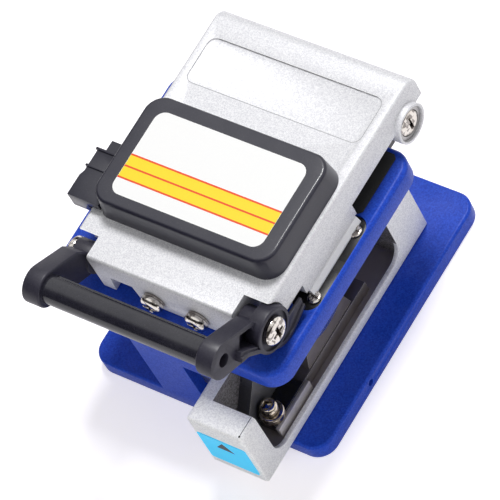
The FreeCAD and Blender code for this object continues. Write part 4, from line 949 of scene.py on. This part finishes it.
def recess_radius(kind: Recess, size: float) -> Callable[[float], float]:
    """Outline of a driver recess.

    Args:
        kind: the recess's form.
        size: half the width over the flats, or half the length of the cross or slot.

    Returns:
        A function from an angle to the recess's radius there.
    """
    cross_width, slot_width = size * 0.26, size * 0.22

    def hexagon(angle: float) -> float:
        """Radius of a hexagon with flats at size."""
        turn = (angle + math.pi / 6) % (math.pi / 3) - math.pi / 6
        return size / math.cos(turn)

    def arm(angle: float, width: float) -> float:
        """Radius of one straight arm along the angle 0."""
        along, across = abs(math.cos(angle)), abs(math.sin(angle))
        return min(size / max(along, TINY), width / max(across, TINY))

    def cross(angle: float) -> float:
        """Radius of two crossed arms."""
        return max(arm(angle, cross_width), arm(angle + math.pi / 2, cross_width))

    def slot(angle: float) -> float:
        """Radius of one arm."""
        return arm(angle, slot_width)

    return {Recess.HEXAGON: hexagon, Recess.CROSS: cross, Recess.SLOT: slot}[kind]


def facing(outward: Vector) -> Matrix:
    """The turn that takes +Z to a direction."""
    return UP.rotation_difference(outward).to_matrix().to_4x4()


@dataclass
class ScrewHead:
    """A domed screw head with a rounded rim and a driver recess, on a plain shank.

    Rings of the recess are (share of the head's height, share of the recess's outline), from the
    rim down. The other shares are of the head's own height or radius.
    """

    name: str
    radius: float
    height: float
    recess: Recess
    recess_share: float
    shank_radius: float
    shank_length: float
    tip_share: float = 0.8
    tip_length: float = 0.2 * MM
    foot_share: float = 0.985
    foot_height: float = 0.06
    wall_height: float = 0.42
    crown_share: float = 0.60
    dome_steps: int = 8
    recess_rings: Sequence[tuple[float, float]] = ((1.0, 1.06), (0.97, 1.0), (0.35, 0.86),
                                                   (0.22, 0.3))

    def build(self, seat: Vector, outward: Vector) -> bpy.types.Object:
        """Builds the head on its seat.

        Args:
            seat: centre of the head's underside.
            outward: the way the head looks.

        Returns:
            The head, in place.
        """
        r, h, shank, tip = self.radius, self.height, self.shank_radius, -self.shank_length
        wall = h * self.wall_height
        opening = recess_radius(self.recess, r * self.recess_share)
        rings: list[tuple[float, Radius]] = [
            (tip, shank * self.tip_share), (tip + self.tip_length, shank), (0.0, shank),
            (0.0, r * self.foot_share), (h * self.foot_height, r), (wall, r)]
        for k in range(1, self.dome_steps + 1):
            turn = math.pi / 2 * k / self.dome_steps
            spread = self.crown_share + (1 - self.crown_share) * math.cos(turn)
            rings.append((wall + (h - wall) * math.sin(turn), r * spread))
        for level, share in self.recess_rings:
            rings.append((h * level, lambda angle, share=share: opening(angle) * share))
        obj = lathe(self.name, rings)
        obj.data.transform(Matrix.Translation(seat) @ facing(outward))
        return obj


# ---------------------------------------------------------------- dressing and placing
class Workshop:
    """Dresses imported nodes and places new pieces."""

    def __init__(self, nodes: dict[str, bpy.types.Object]) -> None:
        """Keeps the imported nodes.

        Args:
            nodes: node name to its object.
        """
        self.nodes = nodes
        self.finishes = FinishStore()
        self.crisp = build_crisp_shading()

    def dress(self, finish: Finish, names: Sequence[str], round_mm: float = 0.0) -> None:
        """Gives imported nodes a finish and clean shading.

        Args:
            finish: the finish.
            names: the nodes.
            round_mm: how much their sharp edges are broken.
        """
        for name in names:
            node = self.nodes[name]
            node.data.materials.clear()
            node.data.materials.append(self.finishes.get(finish))
            if round_mm > 0:
                self.break_edges(node, round_mm)
            node.modifiers.new("shading", "NODES").node_group = self.crisp
            log.info("dressed %s in %s", name, finish.name)

    def line_box(self, name: str, finish: Finish, low: Vector, high: Vector) -> None:
        """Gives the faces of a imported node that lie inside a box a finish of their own.

        Args:
            name: the node.
            finish: the finish of those faces.
            low: the box's lowest corner.
            high: the box's highest corner.
        """
        node, material = self.nodes[name], self.finishes.get(finish)
        node.data.materials.append(material)
        net, given, out = start_geometry_group("line_" + name)
        place = net.add("GeometryNodeInputPosition").outputs[0]
        off = net.vector("SUBTRACT", place, (low + high) / 2)
        apart = net.add("VectorMath", {0: off}, operation="ABSOLUTE").outputs[0]
        past = net.vector("SUBTRACT", apart, (high - low) / 2)
        sides = net.add("SeparateXYZ", {0: past}).outputs
        most = net.math("MAXIMUM", net.math("MAXIMUM", sides[0], sides[1]), sides[2])
        inside = net.add("FunctionNodeCompare", {0: most, 1: 0.0}, operation="LESS_THAN").outputs[0]
        lined = {"Geometry": given, "Selection": inside, "Material": material}
        net.feed(out, net.add("GeometryNodeSetMaterial", lined).outputs[0])
        node.modifiers.new("lining", "NODES").node_group = net.tree
        log.info("lined %s with %s", name, finish.name)

    def break_edges(self, node: bpy.types.Object, round_mm: float) -> None:
        """Breaks a node's sharp edges with a small bevel.

        Args:
            node: the node's object.
            round_mm: the bevel's width.
        """
        weld = node.modifiers.new("join_corners", "WELD")
        weld.merge_threshold = TINY
        flat = node.modifiers.new("merge_flats", "DECIMATE")
        flat.decimate_type = "DISSOLVE"
        flat.angle_limit = math.radians(0.5)
        bevel = node.modifiers.new("broken_edges", "BEVEL")
        bevel.width = round_mm * MM
        bevel.segments = 2
        bevel.limit_method = "ANGLE"
        bevel.angle_limit = math.radians(40)
        bevel.use_clamp_overlap = True

    def place(self, obj: bpy.types.Object, finish: Finish, body: Body, slot: str,
              replaces: Sequence[str] = ()) -> None:
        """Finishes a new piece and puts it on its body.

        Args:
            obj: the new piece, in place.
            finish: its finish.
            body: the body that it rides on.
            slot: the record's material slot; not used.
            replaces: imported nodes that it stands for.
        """
        obj.data.materials.clear()
        obj.data.materials.append(self.finishes.get(finish))
        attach(obj, body.value)
        if replaces:
            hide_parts(*replaces)
        log.info("placed %s on %s", obj.name, body.value)


# ---------------------------------------------------------------- sub-assemblies
@dataclass
class Unit:
    """A sub-assembly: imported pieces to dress, and new pieces to build."""

    shop: Workshop

    def dress(self) -> None:
        """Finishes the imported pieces."""

    def build(self) -> None:
        """Makes the new pieces, where the unit has any."""


@dataclass
class BaseUnit(Unit):
    """The blue base, the deck and what is fastened to them."""

    clamp_head_r: float = 1.6 * MM
    clamp_shank_r: float = 0.9 * MM
    shade_mat_w: float = 9.0 * MM
    shade_mat_t: float = 0.25 * MM
    shade_mat_cut: float = 0.8 * MM
    shade_mat_from_clamp: float = 0.3 * MM
    shade_mat_from_lid_side: float = 1.3 * MM
    shade_mat_from_lid_rear: float = 12.5 * MM
    shade_mat_from_deck_rear: float = 1.5 * MM

    def dress(self) -> None:
        """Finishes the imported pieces."""
        self.shop.dress(BLUE, ["base_frame", "deck"], round_mm=0.25)
        self.shop.dress(BLACK_OXIDE, ["clamp_base_left", "clamp_base_right", "hinge_bracket"],
                        round_mm=0.2)
        self.shop.dress(RUBBER, ["lower_pads", "lid_stop"])
        self.shop.dress(STEEL_Y, ["guide_rail", "keeper_plate"])
        self.shop.dress(ALUMINIUM, ["adapter_plate"], round_mm=0.12)
        self.shop.dress(NICKEL, ["deck_screws", "rail_screws", "adapter_screws", "bracket_screws"])

    def build(self) -> None:
        """Makes the black mat on the deck, which also carries painted shade, and the four domed
        screws of the lower clamps.
        """
        self.build_shade_mat()
        low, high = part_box("clamp_screws")
        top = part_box("clamp_base_right")[1].z
        r = self.clamp_head_r
        head = ScrewHead("head", r, high.z - top, Recess.CROSS, recess_share=0.5,
                         shank_radius=self.clamp_shank_r, shank_length=top - low.z)
        heads = [head.build(Vector((x, y, top)), UP)
                 for x in (low.x + r, high.x - r) for y in (low.y + r, high.y - r)]
        self.shop.place(join("clamp_screw_set", heads), NICKEL, Body.BASE, "nickel",
                        ["clamp_screws"])

    def build_shade_mat(self) -> None:
        """Lays a thin black rubber mat on the deck under the lid's rear right part; its black is
        partly the mat's own and partly painted shade where the lid shades the deck.
        """
        lid_high, deck_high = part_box("lid_shell")[1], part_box("deck")[1]
        right = lid_high.x - self.shade_mat_from_lid_side
        rear = min(lid_high.y - self.shade_mat_from_lid_rear, deck_high.y - self.shade_mat_from_deck_rear)
        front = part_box("clamp_base_right")[1].y + self.shade_mat_from_clamp
        left, z, cut = right - self.shade_mat_w, deck_high.z + self.shade_mat_t, self.shade_mat_cut
        outline = [(left, front), (right - cut, front), (right, front + cut), (right, rear - cut),
                   (right - cut, rear), (left, rear)]
        # painted shade, in part: this black sheet stands for the shade under the lid
        shade_mat = flat_strip("deck_shade_mat", [Vector((x, y, z)) for x, y in outline], self.shade_mat_t)
        self.shop.place(shade_mat, RUBBER, Body.BASE, "rubber_pad")


@dataclass
class SliderUnit(Unit):
    """The slider with its guide carriage, blade holder and blade."""

    arrow_half_width: float = 2.45 * MM
    arrow_height: float = 3.1 * MM
    arrow_below_top: float = 1.1 * MM
    ink_t: float = 0.03 * MM
    lining_reach: float = 0.15 * MM
    lining_below_top: float = 0.25 * MM
    rim_w: float = 0.6 * MM
    line_before_plate: float = 5 * MM
    lock_shank_r: float = 1.0 * MM
    seam_inset: float = 0.8 * MM
    seam_w: float = 0.16 * MM
    seam_from_pocket: float = 0.2 * MM
    pinhole_r: float = 0.26 * MM

    def dress(self) -> None:
        """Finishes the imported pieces."""
        self.shop.dress(SLIDER_CAST_LIT, ["slider_body"], round_mm=0.2)
        self.shop.dress(FILM_BLUE, ["front_label"])
        self.shop.dress(STEEL_Y, ["guide_carriage"], round_mm=0.1)
        self.shop.dress(WEDGE_BLACK, ["reset_wedge"], round_mm=0.12)
        self.shop.dress(NICKEL, ["carriage_screws", "blade_axle"])
        self.shop.dress(LOCK_NICKEL, ["lock_ring"])
        self.dress_blade()
        self.dress_steel_plates()
        self.shade_pocket_walls()

    def dress_blade(self) -> None:
        """Grinds the blade's faces, with a paler rim: the ground bevel, with a painted highlight.
        """
        low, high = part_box("blade_wheel")
        hub, radius = (low + high) / 2, (high.z - low.z) / 2
        blade = GroundDisc("blade_carbide", dark=(0.42, 0.42, 0.44), light=(0.68, 0.68, 0.70),
                           hub_y=hub.y, hub_z=hub.z, rim_from=radius - self.rim_w)
        self.shop.dress(blade, ["blade_wheel"])

    def dress_steel_plates(self) -> None:
        """Gives the holder, the side plate and the pocket's plate their three greys."""
        plate_front, plate_rear = (corner.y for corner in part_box("side_plate"))
        side, floor = (0.48, 0.45, 0.445), (0.29, 0.25, 0.245)
        holder_steel = BlackedSteel("holder_steel", black=(0.008, 0.008, 0.010),
                                    ground=(0.125, 0.108, 0.106), ground_light=(0.20, 0.18, 0.178),
                                    line_y=plate_rear)
        side_steel = BlackedSteel("side_steel", black=side, ground=side,
                                  ground_light=(0.68, 0.65, 0.645), line_y=plate_front)
        floor_steel = BlackedSteel("plate_steel", black=floor, ground=floor,
                                   ground_light=(0.42, 0.38, 0.375),
                                   line_y=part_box("pocket_plate")[0].y - self.line_before_plate)
        self.shop.dress(holder_steel, ["blade_holder"], round_mm=0.12)
        self.shop.dress(side_steel, ["side_plate"], round_mm=0.12)
        self.shop.dress(floor_steel, ["pocket_plate"])

    def shade_pocket_walls(self) -> None:
        """Paints shade on the pocket's walls: a darker copy of the slider's cast coat on the faces
        inside the pocket, which the deck shades.
        """
        low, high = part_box("pocket_plate")
        reach = Vector((1.0, 1.0, 0.0)) * self.lining_reach
        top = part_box("slider_body")[1].z - self.lining_below_top
        self.shop.line_box("slider_body", POCKET_SHADE_CAST, low - reach,
                           Vector((high.x, high.y, top)) + reach)

    def build(self) -> None:
        """Makes the locking screw, the seam at the slider's front and the arrow on its label."""
        self.build_lock_screw()
        self.build_seam()
        self.build_arrow()

    def build_arrow(self) -> None:
        """Prints the triangle on the front label."""
        low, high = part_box("front_label")
        middle, half = (low.x + high.x) / 2, self.arrow_half_width
        y = low.y - self.ink_t / 2
        top = high.z - self.arrow_below_top
        foot = top - self.arrow_height
        outline = [(middle - half, foot), (middle + half, foot), (middle, top)]
        arrow = flat_strip("push_arrow", [Vector((x, y, z)) for x, z in outline], self.ink_t)
        self.shop.place(arrow, BLACK_INK_AND_SHADE, Body.SLIDER, "blue_label")

    def build_lock_screw(self) -> None:
        """Makes the socket screw that locks the blade holder."""
        low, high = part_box("lock_screw")
        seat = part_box("lock_ring")[1].z
        at = Vector(((low.x + high.x) / 2, (low.y + high.y) / 2, seat))
        head = ScrewHead("lock_screw_turned", (high.x - low.x) / 2, high.z - seat, Recess.HEXAGON,
                         recess_share=0.52, shank_radius=self.lock_shank_r,
                         shank_length=seat - low.z)
        self.shop.place(head.build(at, UP), LOCK_NICKEL, Body.SLIDER, "nickel", ["lock_screw"])

    def build_seam(self) -> None:
        """Draws the fine seam on the top of the slider's front end, and the pinhole at its end."""
        low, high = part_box("slider_body")
        x, z, half = high.x - self.seam_inset, high.z + self.ink_t / 2, self.seam_w / 2
        near, far = low.y + self.seam_inset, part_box("pocket_plate")[0].y - self.seam_from_pocket
        line = flat_strip("line", rectangle((x - half, x + half), (near, far), z), self.ink_t)
        ring = arc(x, near, z, self.pinhole_r, [k * math.pi / 8 for k in range(16)])
        dot = flat_strip("dot", ring, self.ink_t)
        self.shop.place(join("slider_seam", [line, dot]), BLACK_INK_AND_SHADE, Body.SLIDER, "silver_cast")


@dataclass
class LidUnit(Unit):
    """The cast lid, its hinge pin, screws and clamp block."""

    washer_t: float = 0.7 * MM
    washer_edge: float = 0.12 * MM
    washer_share: float = 0.95
    washer_edge_share: float = 0.90
    front_shank_r: float = 1.1 * MM
    lip_out: float = 0.85 * MM
    lip_rise: float = 1.9 * MM
    lip_from_block: float = 2.6 * MM
    lip_from_clamp_front: float = 4.0 * MM
    lip_from_clamp_rear: float = 0.9 * MM
    lip_root: float = 0.3 * MM
    lip_top_cut: float = 0.1 * MM
    lip_toe: float = 0.45 * MM
    lip_toe_cut: float = 0.05 * MM
    lip_heel: float = 0.9 * MM
    panel_l: float = 45.8 * MM
    panel_d: float = 11.8 * MM
    panel_inset: float = 8.0 * MM
    panel_r: float = 2.0 * MM
    line_w: float = 0.13 * MM
    line_t: float = 0.04 * MM
    line_rise: float = 0.02 * MM
    rear_line_rise: float = 0.015 * MM
    rear_line_t: float = 0.03 * MM
    corner_steps: int = 6

    def dress(self) -> None:
        """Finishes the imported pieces."""
        self.shop.dress(SILVER, ["lid_shell"], round_mm=0.15)
        self.shop.dress(STEEL_Y, ["hinge_rings", "magnet_bar", "pivot_lugs", "anvil_pivot_pin"])
        self.shop.dress(BLACK_OXIDE, ["upper_clamp_block"], round_mm=0.2)
        self.shop.dress(RUBBER, ["upper_pads"])

    def build(self) -> None:
        """Makes the screws, the lip of the tab, the painted shade line around the panel and the
        hinge pin.
        """
        self.build_front_screws()
        self.build_tab_lip()
        self.build_panel_shade()
        self.build_end_heads("pivot_screw_set", "pivot_screws", depth=1.2 * MM, proud=0.5 * MM,
                             recess=Recess.CROSS, recess_share=0.5, shank_r=1.6 * MM,
                             shank_l=7.5 * MM)
        low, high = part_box("hinge_pin")
        pin_head = 1.0 * MM
        self.build_end_heads("hinge_pin_turned", "hinge_pin", depth=pin_head, proud=0.0,
                             recess=Recess.SLOT, recess_share=0.7, shank_r=1.8 * MM,
                             shank_l=(high.x - low.x) / 2 - pin_head)

    def build_front_screws(self) -> None:
        """Makes the two domed screws in the lid's front face, each on its washer."""
        low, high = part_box("front_screws")
        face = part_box("lid_shell")[0].y
        r, z = (high.z - low.z) / 2, (high.z + low.z) / 2
        outward, t, edge = Vector((0, -1, 0)), self.washer_t, self.washer_edge
        head = ScrewHead("head", r, face - low.y - t, Recess.CROSS, recess_share=0.56,
                         shank_radius=self.front_shank_r, shank_length=high.y - face + t)
        wide, narrow = r * self.washer_share, r * self.washer_edge_share
        rings = [(0.0, narrow), (edge, wide), (t - edge, wide), (t, narrow)]
        heads = []
        for x in (low.x + r, high.x - r):
            seat = Vector((x, face, z))
            heads.append(head.build(seat + outward * t, outward))
            washer = lathe("washer", rings)
            washer.data.transform(Matrix.Translation(seat) @ facing(outward))
            heads.append(washer)
        self.shop.place(join("front_screw_set", heads), NICKEL, Body.LID, "nickel",
                        ["front_screws"])

    def build_end_heads(self, piece: str, node: str, depth: float, proud: float, recess: Recess,
                        recess_share: float, shank_r: float, shank_l: float) -> None:
        """Makes two equal heads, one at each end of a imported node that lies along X.

        Args:
            piece: the new piece's name.
            node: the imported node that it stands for.
            depth: how far inside the node's ends the heads are seated.
            proud: how far the domes stand past the node's ends.
            recess: the recess's form.
            recess_share: the recess's share of the head.
            shank_r: the shanks' radius.
            shank_l: the shanks' length.
        """
        low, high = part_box(node)
        y, z = (low.y + high.y) / 2, (low.z + high.z) / 2
        head = ScrewHead("head", (high.z - low.z) / 2, depth + proud, recess, recess_share,
                         shank_r, shank_l)
        heads = [head.build(Vector((x, y, z)), Vector((way, 0, 0)))
                 for x, way in ((high.x - depth, 1), (low.x + depth, -1))]
        self.shop.place(join(piece, heads), NICKEL, Body.LID, "nickel", [node])

    def panel_loop(self, grow: float) -> list[Vector]:
        """The recessed panel's outline, grown outwards.

        Args:
            grow: how far it stands outside the panel's own edge.

        Returns:
            The corners, anticlockwise from the right end of the front edge.
        """
        low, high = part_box("lid_shell")
        mid_x, rear = (low.x + high.x) / 2, high.y - self.panel_inset
        front, half = rear - self.panel_d, self.panel_l / 2
        corners = ((mid_x + half, front, -90), (mid_x + half, rear, 0), (mid_x - half, rear, 90),
                   (mid_x - half, front, 180))
        loop = []
        for x, y, start in corners:
            cx = x - math.copysign(self.panel_r, x - mid_x)
            cy = y - math.copysign(self.panel_r, y - (rear - self.panel_d / 2))
            turns = [math.radians(start + 90 / self.corner_steps * k)
                     for k in range(self.corner_steps + 1)]
            loop += arc(cx, cy, high.z + self.line_rise, self.panel_r + grow, turns)
        return loop

    def build_panel_shade(self) -> None:
        """Paints shade around the lid's recessed panel: a grey line where its step is shaded, black
        along its rear edge where the step's shadow is darkest.
        """
        inner, outer = self.panel_loop(0.0), self.panel_loop(self.line_w)
        ring = flat_ring("panel_shade_line", outer, inner, self.line_t)
        self.shop.place(ring, PANEL_SHADE_GREY, Body.LID, "silver_cast")
        right, left = 2 * self.corner_steps + 1, 2 * self.corner_steps + 2
        lift = UP * self.rear_line_rise
        rear = [corner + lift for corner in (outer[right], outer[left], inner[left], inner[right])]
        dark = flat_strip("panel_shade_line_rear", rear, self.rear_line_t)
        self.shop.place(dark, BLACK_INK_AND_SHADE, Body.LID, "silver_cast")

    def build_tab_lip(self) -> None:
        """Makes the narrow lip along the foot of the lid's right tab, sloping outwards, in a paler
        copy of the lid's coat as a painted highlight.
        """
        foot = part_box("lid_shell")[0].z
        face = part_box("upper_clamp_block")[1].x + self.lip_from_block
        clamp_low, clamp_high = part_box("clamp_base_right")
        out, rise = face + self.lip_out, foot + self.lip_rise
        profile = [(face - self.lip_root, rise), (face + self.lip_top_cut, rise - self.lip_top_cut),
                   (out, foot + self.lip_toe), (out - self.lip_toe_cut, foot + self.lip_toe_cut),
                   (face - self.lip_heel, foot)]
        near = clamp_low.y + self.lip_from_clamp_front
        far = clamp_high.y - self.lip_from_clamp_rear
        ends = [[(x, y, z) for x, z in profile] for y in (near, far)]
        self.shop.place(loft("tab_lip", ends), LIP_HIGHLIGHT_CAST, Body.LID, "silver_cast")


@dataclass
class AnvilUnit(Unit):
    """The cap on the lid with its printed plate, and the sprung arm under it."""

    line_offsets: tuple[float, ...] = (3.9 * MM, 6.8 * MM, 9.7 * MM)
    line_w: float = 0.42 * MM
    line_inset: float = 0.05 * MM
    band_rise: float = 0.01 * MM
    line_rise: float = 0.02 * MM
    ink_t: float = 0.03 * MM

    def dress(self) -> None:
        """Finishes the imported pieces."""
        self.shop.dress(BLACK_SATIN, ["anvil_cover"])
        self.shop.dress(BLACK_SATIN, ["anvil_arm"], round_mm=0.2)
        self.shop.dress(PAPER_WHITE, ["label_plate"])
        self.shop.dress(RUBBER, ["anvil_pad"])
        self.shop.dress(STEEL_Y, ["anvil_spring"])

    def stripe(self, name: str, front: float, back: float, rise: float) -> bpy.types.Object:
        """Makes one printed stripe across the plate.

        Args:
            name: the stripe's name.
            front: its front edge, from the plate's front edge.
            back: its back edge, from the plate's front edge.
            rise: how far its face stands over the plate.

        Returns:
            The stripe.
        """
        low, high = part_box("label_plate")
        across = (low.x + self.line_inset, high.x - self.line_inset)
        outline = rectangle(across, (low.y + front, low.y + back), high.z + rise)
        return flat_strip(name, outline, rise + self.ink_t)

    def build(self) -> None:
        """Prints the yellow band and the red lines over it."""
        first, last = self.line_offsets[0], self.line_offsets[-1]
        band = self.stripe("label_band", first, last, self.band_rise)
        self.shop.place(band, INK_YELLOW, Body.LID, "white_label")
        half = self.line_w / 2
        lines = [self.stripe("line", y - half, y + half, self.line_rise) for y in self.line_offsets]
        self.shop.place(join("label_lines", lines), INK_RED, Body.LID, "white_label")


@dataclass
class HandleUnit(Unit):
    """The two arms and the bar between them."""

    def dress(self) -> None:
        """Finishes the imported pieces."""
        self.shop.dress(BLACK_GLOSS, ["handle_arm_right", "handle_arm_left"], round_mm=0.15)
        self.shop.dress(BLACK_DRAWN, ["handle_bar"])
        self.shop.dress(STEEL_Y, ["handle_rod"])


# ---------------------------------------------------------------- studio
@dataclass(frozen=True)
class Softbox:
    """A square lamp that looks at the object; glossy surfaces show it where it is mirrored."""

    name: str
    place: Point
    side: float
    watts: float
    mirrored: bool = True


@dataclass
class Studio:
    """White floor, soft lights and the camera.

    The lifts are light that the floor gives off, for the camera and for mirror rays. The sky is
    how strong the surround is as a lamp.
    """

    camera_at: Point = (0.48292, -0.29698, 0.81314)
    looks_at: Point = (0.00459, -0.00626, 0.030)
    camera_roll_deg: float = 31.66
    lens_mm: float = 320.4
    sensor_mm: float = 36.0
    floor_m: float = 3.0
    floor_colour: Colour = (0.88, 0.87, 0.88)
    floor_glow: Colour = (1.0, 0.965, 0.995)
    floor_lift: float = 0.53
    floor_lift_mirrored: float = 0.2
    sky: float = 0.30
    sky_low: Colour = (0.12, 0.12, 0.13)
    gloss_rise: Point = (0.10, 0.48, 0.87)
    gloss_low: Colour = (0.045, 0.040, 0.038)
    gloss_strength: float = 0.9
    lamps: tuple[Softbox, ...] = (
        Softbox("key", (-0.10, 0.45, 1.03), side=0.26, watts=8.4),
        Softbox("right_side", (0.95, -0.10, 0.22), side=0.50, watts=2.4, mirrored=False),
        Softbox("front_low", (0.10, -0.90, 0.42), side=0.50, watts=2.7, mirrored=False))

    def build(self) -> None:
        """Builds the floor, the world, the lights and the camera."""
        self.build_floor()
        self.build_world()
        for lamp in self.lamps:
            self.add_softbox(lamp)
        self.build_camera()

    def build_floor(self) -> None:
        """Lays a matt white floor that shows white to the camera and keeps the object's shadow."""
        mesh = bmesh.new()
        bmesh.ops.create_circle(mesh, cap_ends=True, segments=96, radius=self.floor_m)
        floor = to_object("studio_floor", mesh)
        material = bpy.data.materials.new("floor_white")
        material.use_nodes = True
        material.node_tree.nodes.clear()
        net = Net(material.node_tree)
        matt = net.add("BsdfDiffuse", {"Color": rgba(self.floor_colour)})
        ray = net.add("LightPath").outputs
        shown = net.math("MAXIMUM", ray["Is Camera Ray"], ray["Is Transmission Ray"])
        mirrored = net.math("MULTIPLY", ray["Is Glossy Ray"], self.floor_lift_mirrored)
        lift = net.math("MAXIMUM", net.math("MULTIPLY", shown, self.floor_lift), mirrored)
        glow = net.add("Emission", {"Color": rgba(self.floor_glow), "Strength": lift})
        both = net.add("AddShader", {0: matt.outputs[0], 1: glow.outputs[0]})
        net.add("OutputMaterial", {"Surface": both.outputs[0]})
        floor.data.materials.append(material)

    def build_world(self) -> None:
        """Sets the surround: a dim sky as a lamp, a banked room in gloss, plain white in view."""
        world = bpy.data.worlds.new("studio_surround")
        bpy.context.scene.world = world
        world.use_nodes = True
        world.node_tree.nodes.clear()
        net = Net(world.node_tree)
        way = net.add("TexCoord").outputs["Generated"]
        up = net.add("SeparateXYZ", {0: way}).outputs[2]
        banked = net.vector("DOT_PRODUCT", way, self.gloss_rise, "Value")
        sky = net.mix(net.remap(up, 0.2, 0.9), self.sky_low, WHITE)
        room = net.mix(net.remap(banked, 0.25, 0.62), self.gloss_low, WHITE)
        ray = net.add("LightPath").outputs
        shader = net.add("Background", {"Color": sky, "Strength": self.sky}).outputs[0]
        for seen, colour, strength in (("Is Glossy Ray", room, self.gloss_strength),
                                       ("Is Camera Ray", rgba(WHITE), 1.0)):
            shown = net.add("Background", {"Color": colour, "Strength": strength}).outputs[0]
            shader = net.add("MixShader", {0: ray[seen], 1: shader, 2: shown}).outputs[0]
        net.add("OutputWorld", {"Surface": shader})

    def add_softbox(self, box: Softbox) -> None:
        """Adds a lamp that looks at the object.

        Args:
            box: the lamp.
        """
        lamp = bpy.data.lights.new(box.name, "AREA")
        lamp.shape = "SQUARE"
        lamp.size = box.side
        lamp.energy = box.watts
        obj = bpy.data.objects.new(box.name, lamp)
        obj.visible_glossy = box.mirrored
        obj.location = box.place
        line_of_sight = Vector(self.looks_at) - Vector(box.place)
        obj.rotation_euler = line_of_sight.to_track_quat("-Z", "Y").to_euler()
        bpy.context.scene.collection.objects.link(obj)

    def build_camera(self) -> None:
        """Sets the camera, rolled about its line of sight."""
        camera = bpy.data.cameras.new("camera")
        camera.lens = self.lens_mm
        camera.sensor_width = self.sensor_mm
        camera.clip_start, camera.clip_end = 0.01, 20.0
        obj = bpy.data.objects.new("camera", camera)
        at = Vector(self.camera_at)
        level = (Vector(self.looks_at) - at).to_track_quat("-Z", "Y").to_matrix()
        rolled = level @ Matrix.Rotation(math.radians(-self.camera_roll_deg), 3, "Z")
        obj.matrix_world = Matrix.Translation(at) @ rolled.to_4x4()
        bpy.context.scene.collection.objects.link(obj)
        bpy.context.scene.camera = obj


def main() -> None:
    """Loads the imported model, builds every unit in order and sets the studio."""
    logging.basicConfig(level=logging.INFO, format="%(message)s")
    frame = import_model()
    bpy.context.scene.view_settings.view_transform = "Standard"
    shop = Workshop(frame["nodes"])
    for kind in (BaseUnit, SliderUnit, LidUnit, AnvilUnit, HandleUnit):
        unit = kind(shop)
        unit.dress()
        unit.build()
    Studio().build()


if __name__ == "__main__":
    main()
